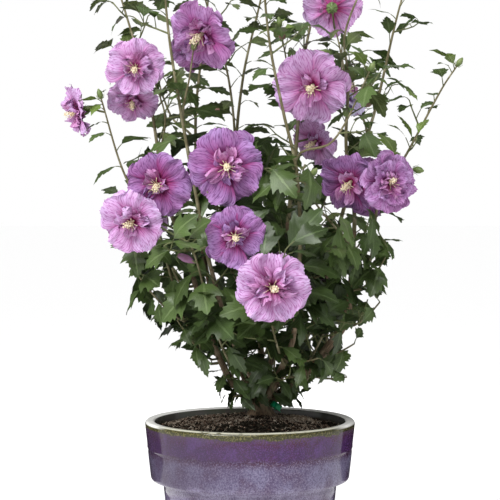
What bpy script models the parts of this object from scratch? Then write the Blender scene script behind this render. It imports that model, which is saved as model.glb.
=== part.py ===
"""Rose of Sharon hibiscus in a glazed pot, as solids, in metres with +Z up.

Run it with blender --background --python part.py, or from Blender's text editor.
The origin is the centre of the pot's flat underside, and -Y is the front of the plant.

A short trunk forks into boughs.  Long canes and shorter leafy sprays spring from the boughs,
each a solid of its own with its twigs, leaves, buds and blooms fused on.  What grows on a spray
keeps to the spray's own space, which is the part of the crown that lies nearest to its shoots,
and a twig or leaf that would leave that space, or touch anything else, is skipped.
"""

import math
import random
from dataclasses import dataclass

import bmesh
import bpy
from mathutils import Matrix, Quaternion, Vector
from mathutils.bvhtree import BVHTree
from mathutils.geometry import interpolate_bezier
from mathutils.kdtree import KDTree

# ---------------------------------------------------------------- sizes, in metres

MM = 0.001
GAP = 0.3 * MM                # between pieces that touch on the real plant
SEED = 41

# Pot: radii and heights of its outside from the foot up, and of its inside.
POT_HEIGHT = 0.237
FOOT_RADIUS = 0.100
FOOT_BEVEL = 0.003
NECK_RADIUS = 0.1165          # where the body runs in under the band
BAND_HEIGHT = 0.079
BAND_FOOT_RADIUS = 0.1325
BAND_ROUND = 0.006
GROOVE_HEIGHT = 0.201
GROOVE_HALF_WIDTH = 0.002
GROOVE_DEPTH = 0.0008
RIM_RADIUS = 0.140
RIM_WALL = 0.0135
LIP_ROUND = 0.0035
FLOOR_THICKNESS = 0.018
INNER_FLOOR_RADIUS = 0.088
POT_SIDES = 40

# Soil: it fills the pot, with a low mound round the trunk.
SOIL_EDGE_HEIGHT = 0.2265
SOIL_SHOULDER_RADIUS = 0.090
SOIL_SHOULDER_HEIGHT = 0.2325
SOIL_TOP_RADIUS = 0.046
SOIL_TOP_HEIGHT = 0.238

# Trunk: a stump with a root flare, as (height over its foot, radius), and a stub for each bough.
FORK = Vector((0.015, 0.020, 0.247))
TRUNK_RINGS = ((0.0, 0.0230), (0.004, 0.0200), (0.012, 0.0172), (0.020, 0.0140), (0.026, 0.0080))
TRUNK_SIDES = 10
STUB_LENGTH = 0.032
STUB_SIDES = 8
STUB_SWELL = 1.15             # a stub's radius at the fork, over its bough's

# Shoots: how far apart the points of each kind lie along it, its sides and its radii.
BOUGH_STEP = 0.038
BOUGH_BEVEL_RESOLUTION = 2    # gives eight sides
CANE_STEP = 0.055
CANE_SIDES = 4
SPRAY_STEP = 0.036
SPRAY_RADIUS = 1.9 * MM
TWIG_RADIUS = 1.3 * MM
TWIG_SIDES = 3
TIP_RADIUS = 0.9 * MM
LEAD = 0.006                  # a shoot's first stretch, straight out of what it springs from

# Where the sprays of a ring spring from: as near as they can to an anchor inside their tip.
ANCHOR_REACH = 0.45
ANCHOR_DROP = 0.075
SEAT_REACH = 0.030
SEAT_SPACING = 0.014
SPRAY_BERTH = 4.0 * MM        # the radius that a spray's stem keeps free as it runs up
SPRAY_RISE = 0.9

# Leaf: half its outline from root to tip, as shares of its length along it and to the side.
LEAF_OUTLINE = ((0.0, 0.0), (0.44, 0.33), (0.58, 0.18), (1.0, 0.0))
LEAF_CENTRE = 0.38
LEAF_THICKNESS = 1.3 * MM
LEAF_FOLD = 0.16
LEAF_ARCH = (0.10, 0.26)
LEAF_TILT = 0.5
LEAF_LEAN = (0.2, 0.5)        # how far a leaf leans along its shoot
LEAF_TRIES = 12
TRY_TURN = math.radians(40)
TRY_SHRINK = 0.035
GOLDEN_ANGLE = math.radians(137.5)
NODE_JITTER = (0.8, 1.2)
TWIG_LEAN = (0.5, 1.0)
TWIG_NODES = (0.35, 0.65)
TIP_SINK = 0.002

# Bloom, in shares of its radius: a lobed rim round a dish, a tuft in it and a calyx behind it.
BLOOM_LOBES = 5
RIM_PATTERN = ((0.0, 0.84), (0.26, 0.99), (0.5, 1.02), (0.74, 0.97))   # share of a lobe, reach
RIM_RISE = 0.12
RUFFLE = 0.07
RING_CORNERS = 10
THROAT = (0.44, -0.02)        # reach, rise
BACK = (0.24, -0.22)
TUFT_RISE = 0.32
CALYX_DEPTH = 0.62
STALK_SINK = 0.14
STALK_RADIUS = 1.3 * MM
STALK_STEP = 0.016
STALK_DROP = 0.012            # a stalk springs from a little below what it carries

# Bud: a spindle, with rings as (share of length, share of radius).
BUD_LENGTH = 0.019
BUD_RADIUS = 0.0048
BUD_RINGS = ((0.30, 1.0), (0.66, 0.82))
BUD_SIDES = 5
BUD_SINK = 0.003

# Space: how it is shared out, and what is kept free before each bloom, in its radii.
SPACE_SPACING = 0.004
SPACE_LEEWAY = 0.024
CLEAR_AHEAD = 0.75
CLEAR_WIDTH = 0.85

# Crown: how far its leaves reach from its axis at each height, and where the axis stands.
CROWN_OUTLINE = (
    (0.262, 0.066), (0.290, 0.104), (0.320, 0.130), (0.360, 0.166),
    (0.400, 0.196), (0.450, 0.205), (0.620, 0.235), (0.900, 0.320),
)
CROWN_AXIS = ((0.262, 0.024), (0.450, 0.004))

CLOSE_UP = 0.002 * MM         # edges shorter than this are closed up after fusing


@dataclass(frozen=True)
class Habit:
    """How leafy a shoot is: lengths in metres, and how steeply its leaves droop."""

    internode: float
    bare_share: float
    leaf_lengths: tuple
    droops: tuple
    twig_chance: float
    twig_lengths: tuple


CANE_HABIT = Habit(0.038, 0.05, (0.050, 0.066), (0.10, 0.80), 0.30, (0.030, 0.055))
SPRAY_HABIT = Habit(0.015, 0.10, (0.066, 0.086), (0.10, 1.10), 0.45, (0.040, 0.075))


@dataclass(frozen=True)
class Bough:
    """A bough: the way it runs from its foot, in millimetres, and its radii there and at its tip."""

    name: str
    way: tuple
    foot_radius: float
    tip_radius: float
    springs_from: str = "trunk"


@dataclass(frozen=True)
class Fork:
    """A side shoot of a cane: the share of the cane it leaves at, its way and its radius."""

    share: float
    way: tuple
    radius: float


@dataclass(frozen=True)
class Cane:
    """A long shoot: the bough and the share of it that it springs from, its way and its radius."""

    name: str
    bough: str
    share: float
    way: tuple
    radius: float
    forks: tuple = ()


@dataclass(frozen=True)
class Ring:
    """A ring of leafy sprays: the height, reach and turn of their tips round a middle."""

    name: str
    height: float
    reach: float
    count: int
    turn: float
    middle: tuple


@dataclass(frozen=True)
class Bloom:
    """A double bloom: its middle and width in millimetres, and the way it faces."""

    place: tuple
    width: float
    facing: tuple


TIP = 1.0

BOUGHS = (
    Bough("bough_right", ((80, 8, 304), (117, 0, 350)), 6.3, 5.2),
    Bough("bough_right_upper", ((134, 2, 410), (139, 4, 488)), 5.2, 3.4, "bough_right"),
    Bough("bough_middle", ((30, 12, 330), (44, 6, 420), (51, 2, 500)), 5.4, 3.2),
    Bough("bough_left", ((-24, 12, 285), (-50, 8, 340), (-84, 2, 455)), 5.2, 3.0),
    Bough("bough_front_left", ((0, -22, 300), (-28, -52, 360), (-50, -70, 440)), 4.6, 2.8),
    Bough("bough_front_right", ((38, -24, 300), (56, -56, 350), (62, -78, 430)), 4.6, 2.8),
    Bough("bough_back_left", ((-14, 58, 300), (-46, 84, 370), (-66, 92, 460)), 4.8, 2.9),
    Bough("bough_back", ((16, 64, 310), (6, 92, 390), (-8, 96, 470)), 4.8, 2.9),
    Bough("bough_back_right", ((50, 58, 300), (88, 84, 360), (112, 88, 450)), 4.8, 2.9),
)

CANES = (
    Cane(
        "cane_far_left", "bough_left", 0.72,
        ((-128, -14, 505), (-164, -22, 560), (-196, -26, 664)), 2.3,
    ),
    Cane(
        "cane_left", "bough_left", TIP,
        ((-112, 14, 530), (-138, 46, 674), (-172, 76, 790), (-196, 92, 862)), 2.9,
        (Fork(0.30, ((-113, 0, 640), (-128, -6, 690)), 1.6),),
    ),
    Cane(
        "cane_front_left", "bough_front_left", TIP,
        ((-68, -78, 530), (-88, -84, 640), (-104, -100, 750), (-110, -122, 862)), 2.8,
        (Fork(0.44, ((-78, -52, 690), (-74, -28, 728)), 1.6),),
    ),
    Cane(
        "cane_back_left", "bough_back_left", TIP,
        ((-74, 98, 550), (-76, 118, 660), (-62, 140, 790), (-56, 156, 874)), 2.8,
        (Fork(0.36, ((-112, 138, 650), (-140, 170, 730)), 1.9),),
    ),
    Cane(
        "cane_back", "bough_back", TIP,
        ((-20, 90, 580), (-10, 100, 700), (12, 122, 800), (28, 134, 872)), 2.8,
        (Fork(0.30, ((-30, 66, 700), (-52, 50, 772), (-72, 36, 842)), 1.9),),
    ),
    Cane(
        "cane_front", "bough_front_right", TIP,
        ((60, -90, 560), (42, -102, 640), (24, -112, 730), (12, -140, 858)), 2.7,
        (Fork(0.34, ((84, -112, 640), (98, -134, 722)), 1.8),),
    ),
    Cane(
        "cane_middle", "bough_middle", TIP,
        ((60, 4, 583), (72, 16, 716), (91, 44, 803), (112, 56, 880)), 3.1,
        (Fork(0.34, ((52, 16, 700), (40, 4, 762)), 1.5),),
    ),
    Cane(
        "cane_right", "bough_right_upper", TIP,
        ((127, -16, 600), (128, -44, 690), (122, -56, 740), (146, -84, 808)), 2.9,
        (Fork(0.52, ((116, -20, 740), (109, -6, 764)), 1.5),),
    ),
    Cane(
        "cane_back_right", "bough_back_right", TIP,
        ((142, 78, 560), (172, 84, 650), (206, 114, 786), (230, 138, 866)), 3.0,
        (Fork(0.40, ((134, 134, 690), (132, 164, 776)), 1.9),),
    ),
    Cane(
        "cane_far_right", "bough_right_upper", 0.62,
        ((172, -8, 530), (206, -26, 590), (252, -30, 676), (272, -30, 706)), 2.5,
    ),
)

RINGS = (
    Ring("foliage_foot", 0.330, 0.060, 5, 60.0, (0.026, 0.004)),
    Ring("foliage_low", 0.395, 0.112, 7, 22.0, (0.016, 0.000)),
    Ring("foliage_middle", 0.475, 0.138, 6, 50.0, (0.006, 0.000)),
    Ring("foliage_high", 0.565, 0.125, 5, 18.0, (0.004, 0.000)),
)
TIP_TURN_JITTER = 0.12
TIP_REACH_JITTER = (0.92, 1.08)
TIP_HEIGHT_JITTER = 0.012

BLOOMS = (
    Bloom((-67, -34, 743), 87, (0.10, -0.93, -0.25)),
    Bloom((-150, -34, 702), 76, (-0.05, -0.98, -0.10)),
    Bloom((-160, 12, 662), 72, (0.20, -0.35, -0.90)),
    Bloom((-232, -10, 652), 72, (-0.86, -0.10, 0.40)),
    Bloom((108, -16, 784), 78, (0.05, 0.93, 0.25)),
    Bloom((80, -56, 675), 96, (-0.20, -0.88, -0.40)),
    Bloom((136, 20, 672), 74, (-0.25, 0.50, 0.80)),
    Bloom((-120, -78, 550), 84, (-0.10, -0.95, -0.20)),
    Bloom((-149, -118, 502), 82, (-0.20, -0.93, -0.25)),
    Bloom((-29, -106, 571), 94, (-0.02, -0.98, -0.12)),
    Bloom((-19, -136, 486), 74, (0.08, -0.98, -0.08)),
    Bloom((27, -156, 422), 90, (0.05, -0.99, -0.10)),
    Bloom((129, -46, 550), 84, (-0.30, -0.92, -0.20)),
    Bloom((180, -74, 552), 76, (0.35, -0.90, -0.05)),
    Bloom((85, 16, 606), 68, (-0.45, -0.20, -0.85)),
    Bloom((-33, 156, 572), 88, (-0.15, 0.97, 0.10)),
    Bloom((170, 134, 548), 80, (0.60, 0.78, 0.05)),
    Bloom((88, 138, 686), 84, (0.20, 0.95, 0.20)),
    Bloom((-80, 146, 752), 78, (-0.40, 0.88, 0.20)),
    Bloom((-150, 112, 504), 80, (-0.75, 0.64, 0.05)),
    Bloom((34, 168, 416), 86, (0.05, 0.99, -0.05)),
)

# Buds that stand by themselves in the crown; the others close the tips of the canes.
BUDS = ((-59, -10, 646), (153, -10, 655), (215, -40, 569), (192, -44, 585), (78, -100, 560), (157, 20, 616))


# ---------------------------------------------------------------- scene and materials


def clear_scene():
    """Remove every object that the file opened with."""
    for thing in list(bpy.data.objects):
        bpy.data.objects.remove(thing, do_unlink=True)


def make_material(name, colour, roughness):
    """Return a plain material that isn't metal."""
    material = bpy.data.materials.new(name)
    material.use_nodes = True
    material.diffuse_color = (*colour, 1.0)
    shader = material.node_tree.nodes["Principled BSDF"]
    shader.inputs["Base Color"].default_value = (*colour, 1.0)
    shader.inputs["Roughness"].default_value = roughness
    shader.inputs["Metallic"].default_value = 0.0
    return material


def bark(name):
    """Return the tan brown of woody stems, for one object."""
    return make_material(name + "_bark", (0.30, 0.21, 0.13), 0.80)


def add_object(name, data, material):
    """Link a new object that wears one material."""
    thing = bpy.data.objects.new(name, data)
    data.materials.append(material)
    bpy.context.scene.collection.objects.link(thing)
    return thing


# ---------------------------------------------------------------- curves and closed bodies


def millimetres(point):
    """Return a point given in millimetres as a vector in metres."""
    return Vector(point) * MM


def perpendicular(direction):
    """Return a unit vector square to a direction."""
    spare = Vector((1, 0, 0)) if abs(direction.x) < 0.7 else Vector((0, 1, 0))
    return direction.cross(spare).normalized()


def around(count, radius, height):
    """Return a ring of points about the Z axis."""
    turns = (math.tau * index / count for index in range(count))
    return [Vector((math.cos(turn) * radius, math.sin(turn) * radius, height)) for turn in turns]


def read_off(table, key):
    """Return the value at a key, read on straight lines off a table of (key, value)."""
    for (low, start), (high, end) in zip(table, table[1:]):
        if key <= high:
            return start + (end - start) * max(key - low, 0.0) / (high - low)
    return table[-1][1]


def spline(knots, step, heading, arrival=None):
    """Return points about a step apart on a smooth curve through the knots.

    The curve leaves its first knot straight along heading, and reaches its last one along
    arrival where that is given.
    """
    lead = knots[0] + heading * LEAD
    points = [knots[0], lead]
    knots = [lead, *knots[1:]]
    slopes = [heading]
    for before, after in zip(knots, knots[2:]):
        slopes.append((after - before).normalized())
    slopes.append(arrival if arrival is not None else (knots[-1] - knots[-2]).normalized())
    for start, end, slope_in, slope_out in zip(knots, knots[1:], slopes, slopes[1:]):
        third = (end - start).length / 3
        count = max(2, round(3 * third / step) + 1)
        stretch = interpolate_bezier(start, start + slope_in * third, end - slope_out * third, end, count)
        points.extend(stretch[1:])
    return points


class Path:
    """A run of points that can be asked for the place and heading at a share of its length."""

    def __init__(self, points):
        self.points = points
        self.marks = [0.0]
        for start, end in zip(points, points[1:]):
            self.marks.append(self.marks[-1] + (end - start).length)
        self.length = self.marks[-1]

    def at(self, share):
        """Return the point and the unit heading at a share of the length."""
        distance = share * self.length
        index = 0
        while index < len(self.points) - 2 and self.marks[index + 1] < distance:
            index += 1
        start, end = self.points[index], self.points[index + 1]
        part = (distance - self.marks[index]) / (self.marks[index + 1] - self.marks[index])
        return start.lerp(end, part), (end - start).normalized()

    def samples(self, spacing):
        """Return points about a spacing apart along the whole path."""
        count = max(2, math.ceil(self.length / spacing) + 1)
        return [self.at(index / (count - 1))[0] for index in range(count)]


class Solid:
    """One closed body: its corners, and its faces, which wind outwards."""

    def __init__(self, points, faces, material=None):
        self.points = points
        self.faces = faces
        self.material = material
        self.tree = BVHTree.FromPolygons(points, faces)
        self.middle = sum(points, Vector()) / len(points)
        self.radius = max((point - self.middle).length for point in points)

    def touches(self, other):
        """Tell whether this body's surface meets another's."""
        if (self.middle - other.middle).length > self.radius + other.radius:
            return False
        return bool(self.tree.overlap(other.tree))

    def mesh(self, name):
        """Return the body as a new mesh."""
        mesh = bpy.data.meshes.new(name)
        mesh.from_pydata(self.points, [], self.faces)
        return mesh


def stacked(rings, material):
    """Return a body between the first and the last of some rings that have as many corners each."""
    sides = len(rings[0])
    top = (len(rings) - 1) * sides
    faces = [tuple(reversed(range(sides))), tuple(range(top, top + sides))]
    for low in range(0, top, sides):
        for corner in range(sides):
            after = (corner + 1) % sides
            faces.append((low + corner, low + after, low + sides + after, low + sides + corner))
    return Solid([point for ring in rings for point in ring], faces, material)


def tube(points, start_radius, end_radius, sides, material):
    """Return a tapering tube along points, closed by a flat cap at each end."""
    last = len(points) - 1
    heading = (points[1] - points[0]).normalized()
    side = perpendicular(heading)
    rings = []
    for index, point in enumerate(points):
        ahead = (points[min(index + 1, last)] - points[max(index - 1, 0)]).normalized()
        side = heading.rotation_difference(ahead) @ side
        heading = ahead
        radius = start_radius + (end_radius - start_radius) * index / last
        turns = (Quaternion(heading, math.tau * corner / sides) for corner in range(sides))
        rings.append([point + turn @ side * radius for turn in turns])
    return stacked(rings, material)


def stood_along(axis, place, roll):
    """Return the matrix that stands local +Z along an axis at a place, turned by roll."""
    turn = Vector((0, 0, 1)).rotation_difference(axis) @ Quaternion((0, 0, 1), roll)
    return Matrix.Translation(place) @ turn.to_matrix().to_4x4()


# ---------------------------------------------------------------- leaf, bloom and bud


def leaf(root, heading, length, arch, tilt, material):
    """Return a three-lobed leaf from its root: it arches down, hollow above, with a keel below.

    tilt turns the blade about its length, so that leaves don't all lie level.
    """
    side = Vector((0, 0, 1)).cross(heading)
    side = side.normalized() if side.length > 0.1 else perpendicular(heading)
    side = Quaternion(heading, tilt) @ side
    upward = heading.cross(side)

    def spot(along, across, lift=0.0):
        lift += (LEAF_FOLD * abs(across) - arch * along * along) * length
        return root + heading * along * length + side * across * length + upward * lift

    left = [spot(along, across) for along, across in LEAF_OUTLINE]
    right = [spot(along, -across) for along, across in reversed(LEAF_OUTLINE[1:-1])]
    points = [*left, *right, spot(LEAF_CENTRE, 0.0, -LEAF_THICKNESS)]
    keel = len(points) - 1
    tip = len(left) - 1
    faces = [(keel, index, (index + 1) % keel) for index in range(keel)]
    faces += [(0, keel - 1, 1), (tip - 1, tip + 1, tip)]
    for low in range(1, tip - 1):
        high = keel - low
        faces += [(low, high, low + 1), (low + 1, high, high - 1)]
    return Solid(points, faces, material)


def bloom(place, width, facing, luck, material):
    """Return a double bloom: a lobed dish with a tuft in its middle and a pointed calyx behind."""
    points = []
    for lobe in range(BLOOM_LOBES):
        for share, reach in RIM_PATTERN:
            turn = math.tau * (lobe + share) / BLOOM_LOBES
            rise = RIM_RISE + luck.uniform(-RUFFLE, RUFFLE)
            points.append(Vector((math.cos(turn) * reach, math.sin(turn) * reach, rise)))
    rim = len(points)
    points += around(RING_CORNERS, *THROAT) + around(RING_CORNERS, *BACK)
    points += [Vector((0, 0, TUFT_RISE)), Vector((0, 0, -CALYX_DEPTH))]
    throat, back = rim, rim + RING_CORNERS
    tuft, calyx = back + RING_CORNERS, back + RING_CORNERS + 1
    faces = []
    for index in range(RING_CORNERS):
        after = (index + 1) % RING_CORNERS
        first, second, third = 2 * index, 2 * index + 1, (2 * index + 2) % rim
        faces += [
            (throat + index, first, second),
            (throat + index, second, throat + after),
            (throat + after, second, third),
            (tuft, throat + index, throat + after),
            (back + index, second, first),
            (back + after, second, back + index),
            (back + after, third, second),
            (calyx, back + after, back + index),
        ]
    matrix = stood_along(facing, place, luck.uniform(0.0, math.tau))
    return Solid([matrix @ (point * width / 2) for point in points], faces, material)


def bud(root, heading, material):
    """Return a closed bud: a spindle that points along its heading."""
    points = [Vector((0, 0, 0))]
    for share, swell in BUD_RINGS:
        points += around(BUD_SIDES, BUD_RADIUS * swell, BUD_LENGTH * share)
    points.append(Vector((0, 0, BUD_LENGTH)))
    top = len(points) - 1
    faces = []
    for corner in range(BUD_SIDES):
        low, low_after = 1 + corner, 1 + (corner + 1) % BUD_SIDES
        high, high_after = low + BUD_SIDES, low_after + BUD_SIDES
        faces += [(0, low_after, low), (low, low_after, high_after, high), (top, high, high_after)]
    matrix = stood_along(heading, root, 0.0)
    return Solid([matrix @ point for point in points], faces, material)


# ---------------------------------------------------------------- pot and soil


def turned(name, profile, material):
    """Add an object turned about the Z axis from a profile of (radius, height)."""
    shape = bmesh.new()
    corners = [shape.verts.new((radius, 0.0, height)) for radius, height in profile]
    edges = [shape.edges.new(pair) for pair in zip(corners, corners[1:])]
    bmesh.ops.spin(
        shape, geom=corners + edges, cent=(0, 0, 0), axis=(0, 0, 1),
        angle=math.tau, steps=POT_SIDES, use_merge=True,
    )
    bmesh.ops.remove_doubles(shape, verts=shape.verts[:], dist=0.01 * MM)
    bmesh.ops.recalc_face_normals(shape, faces=shape.faces[:])
    mesh = bpy.data.meshes.new(name)
    shape.to_mesh(mesh)
    shape.free()
    mesh.shade_smooth()
    mesh.set_sharp_from_angle(angle=math.radians(40))
    return add_object(name, mesh, material)


def band_radius(height):
    """Return the outer radius of the pot's band, which widens evenly up to the rim."""
    share = (height - (POT_HEIGHT - BAND_HEIGHT)) / BAND_HEIGHT
    return BAND_FOOT_RADIUS + (RIM_RADIUS - BAND_FOOT_RADIUS) * share


def inner_radius(height):
    """Return the radius of the pot's inner wall, which widens evenly from floor to rim."""
    share = (height - FLOOR_THICKNESS) / (POT_HEIGHT - FLOOR_THICKNESS)
    return INNER_FLOOR_RADIUS + (RIM_RADIUS - RIM_WALL - INNER_FLOOR_RADIUS) * share


def make_pot():
    """Turn the pot: a tapering body, a broad band with a groove round it, and a rounded lip."""
    band_foot = POT_HEIGHT - BAND_HEIGHT
    groove_foot, groove_top = GROOVE_HEIGHT - GROOVE_HALF_WIDTH, GROOVE_HEIGHT + GROOVE_HALF_WIDTH
    lip_foot = POT_HEIGHT - LIP_ROUND
    profile = (
        (0.0, 0.0),
        (FOOT_RADIUS - FOOT_BEVEL, 0.0),
        (FOOT_RADIUS, FOOT_BEVEL),
        (NECK_RADIUS, band_foot - BAND_ROUND),
        (NECK_RADIUS + BAND_ROUND / 2, band_foot - BAND_ROUND / 3),
        (band_radius(band_foot) - BAND_ROUND / 2, band_foot),
        (band_radius(band_foot + BAND_ROUND), band_foot + BAND_ROUND),
        (band_radius(groove_foot), groove_foot),
        (band_radius(GROOVE_HEIGHT) - GROOVE_DEPTH, GROOVE_HEIGHT),
        (band_radius(groove_top), groove_top),
        (RIM_RADIUS, lip_foot),
        (RIM_RADIUS - LIP_ROUND, POT_HEIGHT),
        (RIM_RADIUS - RIM_WALL + LIP_ROUND, POT_HEIGHT),
        (inner_radius(lip_foot), lip_foot),
        (INNER_FLOOR_RADIUS, FLOOR_THICKNESS),
        (0.0, FLOOR_THICKNESS),
    )
    turned("pot", profile, make_material("violet_glaze", (0.16, 0.10, 0.30), 0.18))


def make_soil():
    """Turn the soil that fills the pot, clear of its wall, with its mound."""
    profile = (
        (0.0, FLOOR_THICKNESS + GAP),
        (INNER_FLOOR_RADIUS - GAP, FLOOR_THICKNESS + GAP),
        (inner_radius(SOIL_EDGE_HEIGHT) - GAP, SOIL_EDGE_HEIGHT),
        (SOIL_SHOULDER_RADIUS, SOIL_SHOULDER_HEIGHT),
        (SOIL_TOP_RADIUS, SOIL_TOP_HEIGHT),
        (0.0, SOIL_TOP_HEIGHT),
    )
    turned("potting_soil", profile, make_material("dark_soil", (0.045, 0.030, 0.022), 0.95))


# ---------------------------------------------------------------- fusing


def fuse(name, solids, material):
    """Fuse bodies into one object by one Boolean union on a collection.

    Where neither solver gives one closed body, the body that was added last is left out.
    """
    while True:
        for solver in ("EXACT", "MANIFOLD"):
            thing = united(name, solids, material, solver)
            if is_closed(thing.data):
                return thing
            bpy.data.objects.remove(thing, do_unlink=True)
        solids = solids[:-1]


def united(name, solids, material, solver):
    """Return an object that is the union of bodies, with scraps and hollows dropped."""
    thing = add_object(name, solids[0].mesh(name), material)
    others = bpy.data.collections.new(name + "_pieces")
    for index, solid in enumerate(solids[1:]):
        label = f"{name}_piece_{index}"
        piece = bpy.data.objects.new(label, solid.mesh(label))
        piece.data.materials.append(solid.material or material)
        others.objects.link(piece)
    union = thing.modifiers.new("union", "BOOLEAN")
    union.operation = "UNION"
    union.operand_type = "COLLECTION"
    union.collection = others
    union.solver = solver
    union.material_mode = "TRANSFER"
    with bpy.context.temp_override(object=thing, active_object=thing, selected_objects=[thing]):
        bpy.ops.object.modifier_apply(modifier=union.name)
    for piece in list(others.objects):
        bpy.data.objects.remove(piece, do_unlink=True)
    bpy.data.collections.remove(others)
    keep_largest_body(thing.data)
    return thing


def keep_largest_body(mesh):
    """Drop loose scraps, and fill sealed hollows by dropping their inner skins."""
    shape = bmesh.new()
    shape.from_mesh(mesh)
    bmesh.ops.triangulate(shape, faces=shape.faces[:])
    bmesh.ops.dissolve_degenerate(shape, dist=CLOSE_UP, edges=shape.edges[:])
    bodies = []
    unseen = set(shape.faces)
    while unseen:
        front = [unseen.pop()]
        body = list(front)
        while front:
            neighbours = {face for edge in front.pop().edges for face in edge.link_faces} & unseen
            unseen -= neighbours
            front.extend(neighbours)
            body.extend(neighbours)
        bodies.append(body)
    bodies.sort(key=len)
    for body in bodies[:-1]:
        bmesh.ops.delete(shape, geom=body, context="FACES")
    shape.to_mesh(mesh)
    shape.free()


def is_closed(mesh):
    """Tell whether a mesh is closed everywhere and has no edge too short to keep."""
    shape = bmesh.new()
    shape.from_mesh(mesh)
    closed = all(edge.is_manifold and edge.calc_length() >= CLOSE_UP for edge in shape.edges)
    closed = closed and all(corner.is_manifold for corner in shape.verts)
    shape.free()
    return closed


# ---------------------------------------------------------------- trunk and boughs


def make_trunk():
    """Make the stump with its root flare, and fuse on a stub for each bough that it carries."""
    foot = Vector((FORK.x, FORK.y, SOIL_TOP_HEIGHT + GAP))
    rings = [[foot + point for point in around(TRUNK_SIDES, radius, rise)] for rise, radius in TRUNK_RINGS]
    pieces = [stacked(rings, None)]
    for spec in BOUGHS:
        if spec.springs_from == "trunk":
            end, _ = bough_start(spec)
            radius = spec.foot_radius * MM
            pieces.append(tube([FORK, end], radius * STUB_SWELL, radius, STUB_SIDES, None))
    fuse("trunk", pieces, bark("trunk"))


def bough_start(spec):
    """Return where the trunk's stub for a bough ends, and which way it points."""
    heading = (millimetres(spec.way[0]) - FORK).normalized()
    return FORK + heading * STUB_LENGTH, heading


def bough_paths():
    """Return each bough's path by name: from its stub, or from the bough that it carries on."""
    paths = {}
    for spec in BOUGHS:
        if spec.springs_from == "trunk":
            end, heading = bough_start(spec)
        else:
            end, heading = paths[spec.springs_from].at(TIP)
        knots = [end + heading * GAP] + [millimetres(point) for point in spec.way]
        paths[spec.name] = Path(spline(knots, BOUGH_STEP, heading))
    return paths


def make_bough(spec, path):
    """Add a bough as a curve whose round bevel tapers from foot to tip."""
    curve = bpy.data.curves.new(spec.name, "CURVE")
    curve.dimensions = "3D"
    curve.bevel_depth = 1.0
    curve.bevel_resolution = BOUGH_BEVEL_RESOLUTION
    curve.use_fill_caps = True
    line = curve.splines.new("POLY")
    line.points.add(len(path.points) - 1)
    for spot, point, mark in zip(line.points, path.points, path.marks):
        spot.co = (*point, 1.0)
        spot.radius = (spec.foot_radius + (spec.tip_radius - spec.foot_radius) * mark / path.length) * MM
    return add_object(spec.name, curve, bark(spec.name))


def solid_of(thing):
    """Return what an object evaluates to as a Solid, for tests of clearance."""
    evaluated = thing.evaluated_get(bpy.context.evaluated_depsgraph_get())
    mesh = evaluated.to_mesh()
    points = [vertex.co.copy() for vertex in mesh.vertices]
    faces = [tuple(polygon.vertices) for polygon in mesh.polygons]
    evaluated.to_mesh_clear()
    return Solid(points, faces)


# ---------------------------------------------------------------- canes and sprays


class Spray:
    """A cane or a leafy spray: its shoots, and the bodies that are fused into it."""

    def __init__(self, name, habit):
        self.name = name
        self.habit = habit
        self.stem = make_material(name + "_stem", (0.22, 0.20, 0.09), 0.70)
        self.green = make_material(name + "_leaf", (0.05, 0.13, 0.035), 0.50)
        self.petal = make_material(name + "_petal", (0.58, 0.27, 0.60), 0.60)
        self.shoots = []
        self.solids = []
        self.map = None

    def add_shoot(self, path, radius, sides):
        """Add a main shoot or a fork, as a path and a tube along it."""
        self.shoots.append(path)
        self.solids.append(tube(path.points, radius, TIP_RADIUS, sides, self.stem))


def seat_on(bough, towards):
    """Return where a shoot springs from a bough, and its heading: out of the nearest flat."""
    _, normal, face, _ = bough.tree.find_nearest(towards)
    corners = [bough.points[index] for index in bough.faces[face]]
    return sum(corners, Vector()) / len(corners) + normal * GAP, normal


def make_cane(spec, paths, boughs):
    """Return a cane with its forks."""
    way = [millimetres(point) for point in spec.way]
    spot, heading = paths[spec.bough].at(spec.share)
    if spec.share == TIP:
        start = spot + heading * GAP
    else:
        start, heading = seat_on(boughs[spec.bough], spot + (way[0] - spot).normalized() * SEAT_REACH)
    spray = Spray(spec.name, CANE_HABIT)
    path = Path(spline([start, *way], CANE_STEP, heading))
    spray.add_shoot(path, spec.radius * MM, CANE_SIDES)
    for fork in spec.forks:
        spot, ahead = path.at(fork.share)
        way = [millimetres(point) for point in fork.way]
        lean = (ahead + (way[0] - spot).normalized()).normalized()
        spray.add_shoot(Path(spline([spot, *way], CANE_STEP, lean)), fork.radius * MM, TWIG_SIDES)
    return spray


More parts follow.
